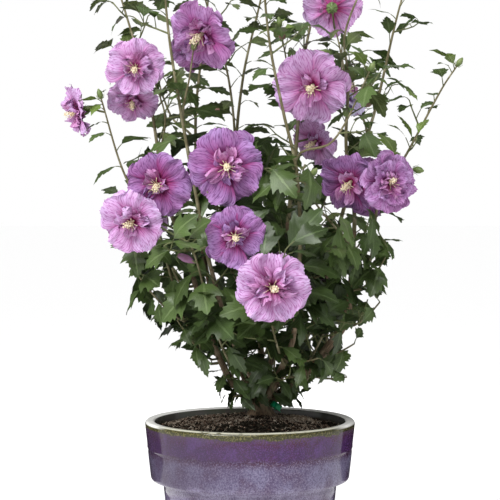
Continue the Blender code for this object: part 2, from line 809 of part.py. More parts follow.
def make_ring(ring, paths, boughs, sprays, luck):
    """Add a ring of sprays, each from the seat nearest its anchor that it can leave freely."""
    middle = Vector((*ring.middle, 0.0))
    spots = [(name, point) for name in paths for point in paths[name].samples(SEAT_SPACING)[1:-1]]
    for number in range(ring.count):
        turn = math.radians(ring.turn) + math.tau * number / ring.count
        turn += luck.uniform(-TIP_TURN_JITTER, TIP_TURN_JITTER)
        outward = Vector((math.cos(turn), math.sin(turn), 0.0))
        height = ring.height + luck.uniform(-TIP_HEIGHT_JITTER, TIP_HEIGHT_JITTER)
        reach = ring.reach * luck.uniform(*TIP_REACH_JITTER)
        tip = middle + outward * reach + Vector((0, 0, height))
        anchor = middle + outward * ring.reach * ANCHOR_REACH + Vector((0, 0, height - ANCHOR_DROP))
        arrival = (outward + Vector((0, 0, SPRAY_RISE))).normalized()
        seats = [spray.shoots[0].points[0] for spray in sprays]
        bodies = [solid for spray in sprays for solid in spray.solids] + list(boughs.values())
        for name, spot in sorted(spots, key=lambda item: (item[1] - anchor).length):
            start, heading = seat_on(boughs[name], spot + outward * SEAT_REACH)
            if any((start - seat).length < SEAT_SPACING for seat in seats):
                continue
            path = Path(spline([start, tip], SPRAY_STEP, heading, arrival))
            berth = tube(path.points[1:], SPRAY_BERTH, SPRAY_BERTH, TWIG_SIDES, None)
            if not any(berth.touches(body) for body in bodies):
                spray = Spray(f"{ring.name}_{number + 1}", SPRAY_HABIT)
                spray.add_shoot(path, SPRAY_RADIUS, CANE_SIDES)
                sprays.append(spray)
                break


# ---------------------------------------------------------------- the space of each spray


def map_of(points):
    """Return a map that finds the nearest of some points."""
    tree = KDTree(len(points))
    for index, point in enumerate(points):
        tree.insert(point, index)
    tree.balance()
    return tree


class Crown:
    """All the sprays, with the rule that shares out the space among them."""

    def __init__(self, sprays, boughs):
        self.sprays = sprays
        self.boughs = list(boughs.values())
        self.owners = []
        everywhere = []
        for spray in sprays:
            spots = [point for shoot in spray.shoots for point in shoot.samples(SPACE_SPACING)]
            spray.map = map_of(spots)
            everywhere += spots
            self.owners += [spray] * len(spots)
        self.map = map_of(everywhere)

    def nearest_shoot(self, point):
        """Return the spray whose shoot comes nearest to a point, and the spot on that shoot."""
        spot, index, _ = self.map.find(point)
        return self.owners[index], spot

    def keeps_to_space(self, spray, solid):
        """Tell whether no corner of a body lies much nearer to another spray's shoots."""
        for corner in solid.points:
            if spray.map.find(corner)[2] > self.map.find(corner)[2] + SPACE_LEEWAY:
                return False
        return True

    def is_free(self, solid, parent):
        """Tell whether a body touches nothing but the one that it grows on."""
        if any(solid.touches(bough) for bough in self.boughs):
            return False
        for spray in self.sprays:
            for body in spray.solids:
                if body is not parent and solid.touches(body):
                    return False
        return True

    def has_room(self, spray, solid, parent):
        """Tell whether a twig or leaf may grow where it is."""
        if hides_bloom(solid) or not self.keeps_to_space(spray, solid):
            return False
        return self.is_free(solid, parent)


def hides_bloom(solid):
    """Tell whether a body hangs before a bloom's face."""
    for spec in BLOOMS:
        reach = spec.width / 2 * MM
        before = millimetres(spec.place) + Vector(spec.facing).normalized() * reach * CLEAR_AHEAD
        if any((point - before).length < reach * CLEAR_WIDTH for point in solid.points):
            return True
    return False


def in_outline(point):
    """Tell whether a point lies inside the crown's outline."""
    if point.z < CROWN_OUTLINE[0][0]:
        return False
    across = point.x - read_off(CROWN_AXIS, point.z)
    return math.hypot(across, point.y) < read_off(CROWN_OUTLINE, point.z)


# ---------------------------------------------------------------- growing


def add_blooms(crown, luck):
    """Hang each bloom on a stalk from the nearest shoot."""
    for spec in BLOOMS:
        place = millimetres(spec.place)
        facing = Vector(spec.facing).normalized()
        width = spec.width * MM
        calyx = place - facing * width / 2 * (CALYX_DEPTH - STALK_SINK)
        spray, spot = crown.nearest_shoot(calyx - Vector((0, 0, STALK_DROP)))
        points = spline([spot, calyx], STALK_STEP, (calyx - spot).normalized(), facing)
        stalk = tube(points, STALK_RADIUS, STALK_RADIUS, TWIG_SIDES, spray.stem)
        spray.solids += [stalk, bloom(place, width, facing, luck, spray.petal)]


def add_buds(crown):
    """Stand a closed bud at the tip of each cane and fork, and at each place that has one."""
    for spray in crown.sprays:
        if spray.habit is CANE_HABIT:
            for shoot in spray.shoots:
                end, heading = shoot.at(TIP)
                spray.solids.append(bud(end - heading * BUD_SINK, heading, spray.green))
    for place in BUDS:
        place = millimetres(place)
        spray, spot = crown.nearest_shoot(place - Vector((0, 0, STALK_DROP)))
        heading = (place - spot).normalized()
        stalk = tube([spot, place], STALK_RADIUS, TIP_RADIUS, TWIG_SIDES, spray.stem)
        spray.solids += [stalk, bud(place - heading * BUD_SINK, heading, spray.green)]


def leaf_heading(ahead, turn, droop, luck):
    """Return the way a leaf points: out from its shoot at a turn about it, then drooping."""
    heading = Quaternion(ahead, turn) @ perpendicular(ahead) + ahead * luck.uniform(*LEAF_LEAN)
    heading.z -= droop
    return heading.normalized()


def try_leaf(crown, spray, parent, root, ahead, turn, luck):
    """Grow a leaf at a node, turned and shortened step by step until it has room.

    Returns:
        Whether a leaf grew.
    """
    habit = spray.habit
    for attempt in range(LEAF_TRIES):
        heading = leaf_heading(ahead, turn + attempt * TRY_TURN, luck.uniform(*habit.droops), luck)
        length = luck.uniform(*habit.leaf_lengths) * (1 - TRY_SHRINK * attempt)
        arch, tilt = luck.uniform(*LEAF_ARCH), luck.uniform(-LEAF_TILT, LEAF_TILT)
        blade = leaf(root, heading, length, arch, tilt, spray.green)
        if all(in_outline(point) for point in blade.points[1:]) and crown.has_room(spray, blade, parent):
            spray.solids.append(blade)
            return True
    return False


def grow_twig(crown, spray, parent, root, ahead, turn, luck):
    """Grow a side twig with its leaves, if there is room for it and for a leaf at its tip.

    Returns:
        Whether the twig grew.
    """
    side = Quaternion(ahead, turn) @ perpendicular(ahead)
    heading = (side + ahead * luck.uniform(*TWIG_LEAN)).normalized()
    path = Path([root, root + heading * luck.uniform(*spray.habit.twig_lengths)])
    twig = tube(path.points, TWIG_RADIUS, TIP_RADIUS, TWIG_SIDES, spray.stem)
    if not crown.has_room(spray, twig, parent):
        return False
    spray.solids.append(twig)
    end, _ = path.at(TIP)
    if not try_leaf(crown, spray, twig, end - heading * TIP_SINK, heading, turn, luck):
        spray.solids.remove(twig)
        return False
    for share in TWIG_NODES:
        turn += GOLDEN_ANGLE
        node, _ = path.at(share)
        try_leaf(crown, spray, twig, node, heading, turn, luck)
    return True


def grow_along(crown, spray, shoot, parent, luck):
    """Grow a twig or a leaf at each node of a shoot, a golden angle on from the last."""
    habit = spray.habit
    place = max(habit.bare_share * shoot.length, 2 * LEAD)
    turn = luck.uniform(0.0, math.tau)
    while place < shoot.length - LEAD:
        root, ahead = shoot.at(place / shoot.length)
        branches = luck.random() < habit.twig_chance
        if not branches or not grow_twig(crown, spray, parent, root, ahead, turn, luck):
            try_leaf(crown, spray, parent, root, ahead, turn, luck)
        turn += GOLDEN_ANGLE
        place += habit.internode * luck.uniform(*NODE_JITTER)


def grow_crown(paths, boughs):
    """Return the crown with everything that grows on it, the same each run."""
    luck = random.Random(SEED)
    sprays = [make_cane(spec, paths, boughs) for spec in CANES]
    for ring in RINGS:
        make_ring(ring, paths, boughs, sprays, luck)
    crown = Crown(sprays, boughs)
    add_blooms(crown, luck)
    add_buds(crown)
    for spray in sprays:
        for shoot, stem in zip(spray.shoots, list(spray.solids)):
            grow_along(crown, spray, shoot, stem, luck)
    return crown


def main():
    """Build the pot, the soil, the trunk, the boughs and all that grows on them."""
    clear_scene()
    make_pot()
    make_soil()
    make_trunk()
    paths = bough_paths()
    boughs = {spec.name: solid_of(make_bough(spec, paths[spec.name])) for spec in BOUGHS}
    crown = grow_crown(paths, boughs)
    for spray in crown.sprays:
        fuse(spray.name, spray.solids, spray.stem)


main()
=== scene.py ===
"""Rose of Sharon in a glazed pot: the finish of every surface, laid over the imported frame.

Lengths are metres, +Z is up and -Y is the front.  The shrub grows again by the rule that made its
solids, from the same boughs and canes, and is carried on to finer twigs, lobed leaves, ruffled
double blooms, buds and bark.  Each class builds one sub-assembly and dresses it.
"""

import logging
import math
import random
from collections.abc import Callable, Iterable, Iterator, Sequence
from contextlib import contextmanager
from dataclasses import dataclass, field
from enum import Enum
from functools import cache, cached_property
from typing import Protocol

import bmesh
import bpy
import numpy as np
from mathutils import Matrix, Quaternion, Vector, noise
from mathutils.geometry import interpolate_bezier
from mathutils.kdtree import KDTree

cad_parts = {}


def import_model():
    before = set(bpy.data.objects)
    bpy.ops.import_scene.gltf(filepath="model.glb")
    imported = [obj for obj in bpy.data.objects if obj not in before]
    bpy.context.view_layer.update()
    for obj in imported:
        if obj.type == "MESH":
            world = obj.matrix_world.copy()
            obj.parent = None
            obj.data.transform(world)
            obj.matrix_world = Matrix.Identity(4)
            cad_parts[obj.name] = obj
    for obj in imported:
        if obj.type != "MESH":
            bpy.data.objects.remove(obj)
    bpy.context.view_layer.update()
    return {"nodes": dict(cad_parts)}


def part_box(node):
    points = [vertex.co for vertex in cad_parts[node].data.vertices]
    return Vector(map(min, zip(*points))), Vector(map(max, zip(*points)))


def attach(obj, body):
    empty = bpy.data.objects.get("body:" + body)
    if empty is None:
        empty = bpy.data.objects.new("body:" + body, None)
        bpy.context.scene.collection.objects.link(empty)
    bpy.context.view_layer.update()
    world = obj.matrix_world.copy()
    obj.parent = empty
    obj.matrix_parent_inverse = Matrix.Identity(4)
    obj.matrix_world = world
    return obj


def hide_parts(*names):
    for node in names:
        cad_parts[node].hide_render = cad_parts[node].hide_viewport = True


log = logging.getLogger("hibiscus")

MM = 0.001
SEED = 41
LEAF_SEED = 91
TIP = 1.0
GOLDEN_ANGLE = math.radians(137.5)
UP = Vector((0.0, 0.0, 1.0))

Colour = tuple[float, float, float]
Span = tuple[float, float]
Place = tuple[float, float, float]
Faces = list[tuple[int, ...]]
Inputs = dict[str | int, object]
Object = bpy.types.Object
Material = bpy.types.Material
Socket = bpy.types.NodeSocket
Array = np.ndarray


# -------- modelling by operators


def deselect_all() -> None:
    """Leave edit mode, with nothing selected."""
    if bpy.context.object and bpy.context.object.mode != "OBJECT":
        bpy.ops.object.mode_set(mode="OBJECT")
    bpy.ops.object.select_all(action="DESELECT")


def added(name: str, primitive: Callable[..., set[str]], **settings: object) -> Object:
    """Add one of Blender's own shapes.

    Args:
        name: the name it gets.
        primitive: the operator that adds it.
        **settings: the operator's settings.

    Returns:
        The new object.
    """
    deselect_all()
    primitive(**settings)
    piece = bpy.context.object
    piece.name = name
    piece.data.name = name
    return piece


def linked(name: str, data: bpy.types.ID) -> Object:
    """Show some data in the scene.

    Args:
        name: the new object's name.
        data: a mesh, a light or a camera.

    Returns:
        The new object.
    """
    made = bpy.data.objects.new(name, data)
    bpy.context.scene.collection.objects.link(made)
    return made


@contextmanager
def editing(piece: Object) -> Iterator[None]:
    """Hold one object, and it alone, in edit mode, with all of it selected at first.

    Args:
        piece: the object to edit.
    """
    deselect_all()
    piece.select_set(True)
    bpy.context.view_layer.objects.active = piece
    bpy.ops.object.mode_set(mode="EDIT")
    bpy.ops.mesh.select_mode(type="VERT")
    bpy.ops.mesh.select_all(action="SELECT")
    yield
    bpy.ops.object.mode_set(mode="OBJECT")


def pick(piece: Object, wanted: Callable[[bmesh.types.BMVert], bool]) -> None:
    """Select, in edit mode, the corners that pass a test, and those alone.

    Args:
        piece: the object in edit mode.
        wanted: the test of one corner.
    """
    shape = bmesh.from_edit_mesh(piece.data)
    for corner in shape.verts:
        corner.select = wanted(corner)
    shape.select_flush_mode()
    bmesh.update_edit_mesh(piece.data)


def lathe(name: str, outline: Sequence[Span], steps: int) -> Object:
    """Extrude a point along an outline and spin it once about the Z axis.

    Args:
        name: the new object's name.
        outline: (radius, height) of each point, from the outside's foot on.
        steps: how many parts the turn has.

    Returns:
        The turned object, closed where the outline meets the axis.
    """
    piece = added(name, bpy.ops.mesh.primitive_plane_add, size=MM)
    with editing(piece):
        bpy.ops.mesh.merge(type="CENTER")
        bpy.ops.transform.translate(value=(outline[0][0], 0.0, outline[0][1]))
        for (radius, height), (next_radius, next_height) in zip(outline, outline[1:]):
            move = {"value": (next_radius - radius, 0.0, next_height - height)}
            bpy.ops.mesh.extrude_region_move(TRANSFORM_OT_translate=move)
        bpy.ops.mesh.select_all(action="SELECT")
        bpy.ops.mesh.spin(steps=steps, angle=math.tau, center=(0, 0, 0), axis=(0, 0, 1))
        bpy.ops.mesh.select_all(action="SELECT")
        bpy.ops.mesh.remove_doubles(threshold=0.02 * MM)
        bpy.ops.mesh.normals_make_consistent(inside=False)
    piece.data.shade_smooth()
    return piece


def arc(middle: Span, radius: float, start: float, end: float, steps: int) -> list[Span]:
    """Return the points of an outline on a round corner, between degrees up from straight out."""
    turns = (math.radians(start + (end - start) * step / steps) for step in range(steps + 1))
    return [(middle[0] + radius * math.cos(turn), middle[1] + radius * math.sin(turn)) for turn in turns]


@dataclass(frozen=True)
class Pattern:
    """A small shape that is modelled once and copied: its corners, its faces and its map."""

    corners: Array
    faces: Faces
    uv: Array

    @classmethod
    def taken_from(cls, piece: Object) -> "Pattern":
        """Read a pattern off a modelled object, and remove the object.

        Args:
            piece: a mesh object at the origin.

        Returns:
            The pattern.
        """
        mesh = piece.data
        corners = np.array([corner.co[:] for corner in mesh.vertices])
        uv = np.zeros((len(corners), 2))
        if mesh.uv_layers:
            for loop, spot in zip(mesh.loops, mesh.uv_layers[0].uv):
                uv[loop.vertex_index] = spot.vector
        faces = [tuple(face.vertices) for face in mesh.polygons]
        bpy.data.objects.remove(piece, do_unlink=True)
        return cls(corners, faces, uv)


class Gathering:
    """Many small shapes of one kind, gathered into a single piece."""

    def __init__(self) -> None:
        """Start with nothing gathered."""
        self.corners: list[Array] = []
        self.uvs: list[Array] = []
        self.faces: Faces = []
        self.slots: list[int] = []
        self.count = 0

    def add(self, corners: Array, faces: Faces, uv: Array, slot: int = 0) -> None:
        """Add a shape.

        Args:
            corners: where its corners lie.
            faces: its faces, by corner.
            uv: the map's place of each corner.
            slot: which of the piece's materials it wears.
        """
        self.corners.append(corners)
        self.uvs.append(uv)
        start = self.count
        self.faces.extend(tuple(start + corner for corner in face) for face in faces)
        self.slots.extend([slot] * len(faces))
        self.count += len(corners)

    def copy(self, pattern: Pattern, corners: Array, slot: int = 0) -> None:
        """Add a copy of a pattern, its corners moved, in the material of a slot."""
        self.add(corners, pattern.faces, pattern.uv, slot)

    def piece(self, name: str, *finishes: "SomeFinish") -> Object:
        """Join what was gathered.

        Args:
            name: the piece's name.
            *finishes: the finishes of its slots, in order.

        Returns:
            One smooth object at the origin.
        """
        mesh = bpy.data.meshes.new(name)
        mesh.from_pydata(np.concatenate(self.corners).tolist(), [], self.faces)
        order = np.empty(len(mesh.loops), dtype=np.int32)
        mesh.loops.foreach_get("vertex_index", order)
        layer = mesh.uv_layers.new(name="UVMap")
        layer.uv.foreach_set("vector", np.concatenate(self.uvs)[order].ravel().astype(np.float32))
        wear(mesh, *finishes)
        mesh.polygons.foreach_set("material_index", self.slots)
        mesh.shade_smooth()
        return linked(name, mesh)


# -------- materials


def add_node(tree: bpy.types.NodeTree, kind: str, inputs: Inputs, **settings: object) -> bpy.types.Node:
    """Add a node, set it and link it.

    Args:
        tree: the tree it joins.
        kind: the node's type.
        inputs: a value, or a socket to link from, for each of its inputs.
        **settings: the node's own settings.

    Returns:
        The new node.
    """
    node = tree.nodes.new(kind)
    for key, value in settings.items():
        setattr(node, key, value)
    for key, value in inputs.items():
        if isinstance(value, Socket):
            tree.links.new(value, node.inputs[key])
        else:
            node.inputs[key].default_value = value
    return node


class SharedEffects:
    """The effects that several materials use, each a node group that is built once."""

    def __init__(self) -> None:
        """Build the groups."""
        self.mottle = self._mottle()
        self.streaks = self._streaks()
        self.veins = self._veins()

    @staticmethod
    def _begin(name: str, values: dict[str, float]) -> tuple[bpy.types.NodeTree, dict[str, Socket], Socket]:
        """Begin a group that reads a vector and some numbers and puts out a mask.

        Args:
            name: the group's name.
            values: its number inputs with their first values.

        Returns:
            The tree, the sockets of its inputs by name, and the mask's socket.
        """
        tree = bpy.data.node_groups.new(name, "ShaderNodeTree")
        tree.interface.new_socket("Vector", in_out="INPUT", socket_type="NodeSocketVector")
        for key, value in values.items():
            socket = tree.interface.new_socket(key, in_out="INPUT", socket_type="NodeSocketFloat")
            socket.default_value = value
        tree.interface.new_socket("Mask", in_out="OUTPUT", socket_type="NodeSocketFloat")
        given = tree.nodes.new("NodeGroupInput").outputs
        mask = tree.nodes.new("NodeGroupOutput").inputs["Mask"]
        return tree, {key: given[key] for key in ("Vector", *values)}, mask

    def _mottle(self) -> bpy.types.NodeTree:
        """Make soft-edged patches: noise of a scale, kept between a low and a high value.

        Returns:
            The group.
        """
        tree, given, mask = self._begin("mottle", {"Scale": 20.0, "Detail": 3.0, "Low": 0.35, "High": 0.65})
        inputs = {key: given[key] for key in ("Vector", "Scale", "Detail")}
        grain = add_node(tree, "ShaderNodeTexNoise", inputs)
        limits = {"Value": grain.outputs[0], "From Min": given["Low"], "From Max": given["High"]}
        step = add_node(tree, "ShaderNodeMapRange", limits, interpolation_type="SMOOTHSTEP")
        tree.links.new(step.outputs["Result"], mask)
        return tree

    def _streaks(self) -> bpy.types.NodeTree:
        """Make long streaks: noise drawn out by three factors, one along each axis.

        Returns:
            The group.
        """
        tree, given, mask = self._begin("streaks", {"X": 100.0, "Y": 100.0, "Z": 10.0, "Detail": 3.0})
        factors = add_node(tree, "ShaderNodeCombineXYZ", {axis: given[axis] for axis in "XYZ"})
        sides = {0: given["Vector"], 1: factors.outputs[0]}
        drawn = add_node(tree, "ShaderNodeVectorMath", sides, operation="MULTIPLY")
        inputs = {"Vector": drawn.outputs[0], "Scale": 1.0, "Detail": given["Detail"]}
        tree.links.new(add_node(tree, "ShaderNodeTexNoise", inputs).outputs[0], mask)
        return tree

    def _veins(self) -> bpy.types.NodeTree:
        """Make a leaf's midrib and its slanted side veins, from a map that runs along its length.

        Returns:
            The group.
        """
        tree, given, mask = self._begin("veins", {"Count": 7.0, "Slant": 0.9, "Width": 0.05})
        parts = add_node(tree, "ShaderNodeSeparateXYZ", {0: given["Vector"]})

        def maths(kind: str, first: object, second: object) -> Socket:
            """Return what a Math node makes of two values."""
            return add_node(tree, "ShaderNodeMath", {0: first, 1: second}, operation=kind).outputs[0]

        across = maths("ABSOLUTE", maths("SUBTRACT", parts.outputs["Y"], 0.5), 0.0)
        midrib = maths("LESS_THAN", across, given["Width"])
        run = maths("SUBTRACT", parts.outputs["X"], maths("MULTIPLY", across, given["Slant"]))
        beat = maths("FRACT", maths("MULTIPLY", run, given["Count"]), 0.0)
        side = maths("LESS_THAN", beat, maths("MULTIPLY", given["Width"], 2.2))
        tree.links.new(maths("MAXIMUM", midrib, maths("MULTIPLY", side, 0.55)), mask)
        return tree


@cache
def shared_effects() -> SharedEffects:
    """Return the shared node groups, which the first call builds."""
    return SharedEffects()


class Finish:
    """A material under way: a Principled shader, and short words for the nodes that feed it."""

    def __init__(self, name: str, roughness: float, **sockets: float) -> None:
        """Start a material.

        Args:
            name: its name.
            roughness: how rough it is.
            **sockets: other plain values of the shader, with _ for the spaces of their names.
        """
        self.material = bpy.data.materials.new(name)
        self.material.use_nodes = True
        self.tree = self.material.node_tree
        self.shader = self.tree.nodes["Principled BSDF"]
        self.shader.inputs["Roughness"].default_value = roughness
        for key, value in sockets.items():
            self.shader.inputs[key.replace("_", " ")].default_value = value

    def node(self, kind: str, inputs: Inputs, **settings: object) -> bpy.types.Node:
        """Add a node to this material; see add_node."""
        return add_node(self.tree, kind, inputs, **settings)

    @cached_property
    def place(self) -> Socket:
        """The Object coordinates."""
        return self.node("ShaderNodeTexCoord", {}).outputs["Object"]

    @cached_property
    def mapped(self) -> Socket:
        """The coordinates of the piece's own map."""
        return self.node("ShaderNodeUVMap", {}, uv_map="UVMap").outputs["UV"]

    def effect(self, tree: bpy.types.NodeTree, inputs: Inputs) -> Socket:
        """Return the mask that a shared group makes of some inputs."""
        return self.node("ShaderNodeGroup", inputs, node_tree=tree).outputs[0]

    def mottle(self, scale: float, band: Span = (0.35, 0.65), detail: float = 3.0) -> Socket:
        """Return the mask of soft-edged patches, from 0 to 1 over a band of the noise's values."""
        inputs = {"Vector": self.place, "Scale": scale, "Detail": detail, "Low": band[0], "High": band[1]}
        return self.effect(shared_effects().mottle, inputs)

    def streaks(self, along: Socket, factors: Place) -> Socket:
        """Return the mask of streaks in some coordinates, drawn out by a factor along each axis."""
        inputs = {"Vector": along, **dict(zip("XYZ", factors))}
        return self.effect(shared_effects().streaks, inputs)

    def veins(self) -> Socket:
        """Return the mask of a leaf's veins, in the piece's own map."""
        return self.effect(shared_effects().veins, {"Vector": self.mapped})

    def axis(self, along: Socket, name: str) -> Socket:
        """Return one part of some coordinates, by its axis."""
        return self.node("ShaderNodeSeparateXYZ", {0: along}).outputs[name]

    def maths(self, kind: str, first: object, second: object) -> Socket:
        """Return what a Math node makes of two values."""
        return self.node("ShaderNodeMath", {0: first, 1: second}, operation=kind).outputs[0]

    def both(self, first: Socket, second: object) -> Socket:
        """Return a mask where two masks meet, or a share of one."""
        return self.maths("MULTIPLY", first, second)

    def span(self, value: object, low: float, high: float) -> Socket:
        """Return a smooth step from 0 at low to 1 at high."""
        inputs = {"Value": value, "From Min": low, "From Max": high}
        return self.node("ShaderNodeMapRange", inputs, interpolation_type="SMOOTHSTEP").outputs["Result"]

    def mix(self, factor: object, first: object, second: object) -> Socket:
        """Return a mix of two colours.

        Args:
            factor: how much of the second one shows, a value or a socket.
            first: a colour or a socket.
            second: a colour or a socket.

        Returns:
            The mixed colour's socket.
        """
        colours = [(*each, 1.0) if isinstance(each, tuple) else each for each in (first, second)]
        inputs = {0: factor, 6: colours[0], 7: colours[1]}
        return self.node("ShaderNodeMix", inputs, data_type="RGBA", clamp_factor=True).outputs[2]

    def coats(self, colour: object, coats: Iterable[tuple[Socket, float, object]]) -> object:
        """Lay coats of colour over one another.

        Args:
            colour: the colour beneath them.
            coats: each one's mask, the most of it that shows, and its colour.

        Returns:
            The colour with its coats.
        """
        for mask, most, over in coats:
            colour = self.mix(self.both(mask, most), colour, over)
        return colour

    def ramp(self, value: object, stops: Sequence[tuple[float, Colour]]) -> Socket:
        """Return a colour ramp of a value.

        Args:
            value: the socket it reads.
            stops: each stop's place and colour, lowest first.

        Returns:
            The colour's socket.
        """
        node = self.node("ShaderNodeValToRGB", {"Fac": value})
        band = node.color_ramp
        for spot, colour in stops[1:-1]:
            band.elements.new(spot).color = (*colour, 1.0)
        for end, (spot, colour) in ((0, stops[0]), (-1, stops[-1])):
            band.elements[end].position = spot
            band.elements[end].color = (*colour, 1.0)
        return node.outputs["Color"]

    def done(self, colour: object, height: Socket | None = None, depth: float = 0.0) -> Material:
        """Feed the shader and return the material.

        Args:
            colour: the base colour, a socket or three numbers.
            height: the socket of the relief, or None.
            depth: how deep the relief is, in metres.

        Returns:
            The finished material.
        """
        if isinstance(colour, Socket):
            self.tree.links.new(colour, self.shader.inputs["Base Color"])
        else:
            self.shader.inputs["Base Color"].default_value = (*colour, 1.0)
        if height is not None:
            bump = self.node("ShaderNodeBump", {"Height": height, "Distance": depth, "Strength": 1.0})
            self.tree.links.new(bump.outputs["Normal"], self.shader.inputs["Normal"])
        return self.material


class SomeFinish(Protocol):
    """Any finish of a surface, which knows how to make its own material."""

    def build(self) -> Material:
        """Return the material."""


def wear(mesh: bpy.types.Mesh, *finishes: SomeFinish) -> None:
    """Give a mesh the materials of some finishes, slot by slot."""
    for finish in finishes:
        mesh.materials.append(finish.build())


@dataclass(frozen=True)
class MottledFinish:
    """Two colours in soft-edged patches, raised by a depth, for buds, anthers and the tie."""

    name: str
    ground: Colour
    mottled: Colour
    roughness: float = 0.5
    scale: float = 120.0
    band: Span = (0.35, 0.65)
    detail: float = 3.0
    specular: float = 0.5
    coat: float = 0.0
    depth: float = 0.0

    def build(self) -> Material:
        """Mix the two colours; the patches of the second one stand up where there is a depth.

        Returns:
            The material.
        """
        finish = Finish(
            self.name, self.roughness,
            Specular_IOR_Level=self.specular, Coat_Weight=self.coat, Coat_Roughness=0.05,
        )
        mask = finish.mottle(self.scale, self.band, self.detail)
        colour = finish.mix(mask, self.ground, self.mottled)
        return finish.done(colour, mask if self.depth else None, self.depth)


@dataclass(frozen=True)
class SoilFinish(MottledFinish):
    """Dark moist potting soil, or one of the dry bits that lie on it."""

    roughness: float = 1.0
    scale: float = 260.0
    band: Span = (0.42, 0.7)
    detail: float = 4.0
    specular: float = 0.0
    depth: float = 1.6 * MM


@dataclass(frozen=True)
class InnerGlaze(MottledFinish):
    """The dull glaze of the pot's inner wall."""

    name: str = "inner_glaze"
    ground: Colour = (0.075, 0.08, 0.06)
    mottled: Colour = (0.09, 0.082, 0.075)
    roughness: float = 0.16
    scale: float = 45.0
    band: Span = (0.4, 0.62)
    coat: float = 0.3


@dataclass(frozen=True)
class Glaze:
    """The running glaze of the pot: colours by height, blurred and streaked as it flowed."""

    height: float
    band_height: float
    drift: float = 0.015
    run_factors: Place = (38.0, 38.0, 9.0)
    body: Colour = (0.215, 0.182, 0.278)
    cove: Colour = (0.29, 0.262, 0.365)
    speckled: Colour = (0.165, 0.148, 0.245)
    maroon: Colour = (0.054, 0.011, 0.032)
    violet: Colour = (0.05, 0.016, 0.07)
    shadow: Colour = (0.05, 0.026, 0.086)
    olive: Colour = (0.036, 0.035, 0.013)
    fleck: Colour = (0.26, 0.22, 0.34)
    violet_fleck: Colour = (0.13, 0.05, 0.22)
    umber: Colour = (0.08, 0.048, 0.05)
    milk: Colour = (0.13, 0.062, 0.25)
    # painted shade: the colour the band darkens to on the pot's left side
    painted_left_shade: Colour = (0.038, 0.026, 0.044)
    # painted highlight: the pale cream of the broken line along the lip's crest
    lip: Colour = (0.64, 0.63, 0.52)
    # painted highlight: the near-white top of the lip at its sides and back
    painted_lip_highlight: Colour = (0.94, 0.935, 0.9)
    # gold specks in the olive rim: partly the glaze's own colour and partly painted glints
    gold_specks_and_glints: Colour = (0.205, 0.178, 0.066)

    def build(self) -> Material:
        """Lay the glaze coat by coat, from its body to the painted highlight on the crest of its lip.

        Returns:
            The material of the pot's outside.
        """
        finish = Finish("running_glaze", 0.12, Specular_IOR_Level=0.36)
        side, depth, level = (finish.axis(finish.place, name) for name in "XYZ")
        run = finish.streaks(finish.place, self.run_factors)
        drift = finish.both(finish.maths("SUBTRACT", run, 0.5), self.drift)
        share = finish.maths("DIVIDE", finish.maths("ADD", level, drift), self.height)
        foot = 1.0 - self.band_height / self.height
        bands = (
            (0.0, self.body), (foot - 0.05, self.body), (foot - 0.01, self.cove),
            (foot + 0.045, self.speckled), (0.8, self.speckled), (0.835, self.maroon),
            (0.862, self.violet), (0.9, self.violet), (0.935, self.maroon), (0.96, self.umber),
        )
        mottle, both, span = finish.mottle, finish.both, finish.span

        def near_top(value: Socket, low: float, high: float) -> Socket:
            """Return a step up between two depths, in millimetres, under the pot's top."""
            return span(value, self.height - low * MM, self.height - high * MM)

        above = span(share, 0.83, 0.86)
        haze = mottle(42.0, (0.48, 0.7))
        ragged = both(finish.maths("SUBTRACT", haze, 0.3), 3.0 * MM)
        rim = near_top(finish.maths("ADD", level, ragged), 9.0, 7.0)
        # painted shade mask: rises towards the pot's left side
        left = span(side, 0.05, -0.11)
        # where the lip's painted highlight reaches: its sides and back, and not its front
        front = span(depth, -0.092, -0.056)
        coats = (
            (span(run, 0.5, 0.68), 0.45, self.shadow),
            (mottle(21.0, (0.47, 0.66), 4.0), 0.42, self.violet),
            (haze, 0.42, self.maroon),
            (both(mottle(11.0, (0.44, 0.66)), above), 0.4, self.umber),
            (both(mottle(33.0, (0.52, 0.68), 4.0), above), 0.5, self.milk),
            (mottle(640.0, (0.49, 0.58), 2.0), 0.55, finish.mix(above, self.fleck, self.violet_fleck)),
            (mottle(500.0, (0.49, 0.58), 2.0), 0.55, self.shadow),
            # painted shade: the band, and what lies above it, darkens towards the pot's left side
            (both(left, span(share, foot, foot + 0.03)), 0.55, self.painted_left_shade),
            (rim, 1.0, self.olive),
            # gold specks on the olive rim: partly the glaze's own colour and partly painted glints
            (both(mottle(520.0, (0.48, 0.62)), rim), 0.6, self.gold_specks_and_glints),
            # painted highlight: a broken pale cream line along the very crest of the lip
            (both(mottle(90.0, (0.28, 0.5)), near_top(level, 1.5, 0.3)), 1.0, self.lip),
            # painted highlight: the top of the lip turns near white at its sides and back
            (both(front, near_top(level, 3.6, 2.0)), 1.0, self.painted_lip_highlight),
        )
        return finish.done(finish.coats(finish.ramp(share, bands), coats), run, 0.6 * MM)


@dataclass(frozen=True)
class BarkFinish:
    """The skin of stems: a ground colour, pale patches and a dark one in its furrows."""

    name: str
    ground: Colour
    pale: Colour
    dark: Colour
    roughness: float = 0.75
    depth: float = 0.5 * MM

    def build(self) -> Material:
        """Run streaks along each stem, as the piece's own map does, with pale patches on them.

        Returns:
            The material.
        """
        finish = Finish(self.name, self.roughness, Specular_IOR_Level=0.3)
        lines = finish.streaks(finish.mapped, (9.0, 40.0, 1.0))
        colour = finish.mix(finish.span(lines, 0.35, 0.62), self.dark, self.ground)
        colour = finish.coats(colour, [(finish.mottle(60.0, (0.45, 0.7)), 0.8, self.pale)])
        return finish.done(colour, lines, self.depth)


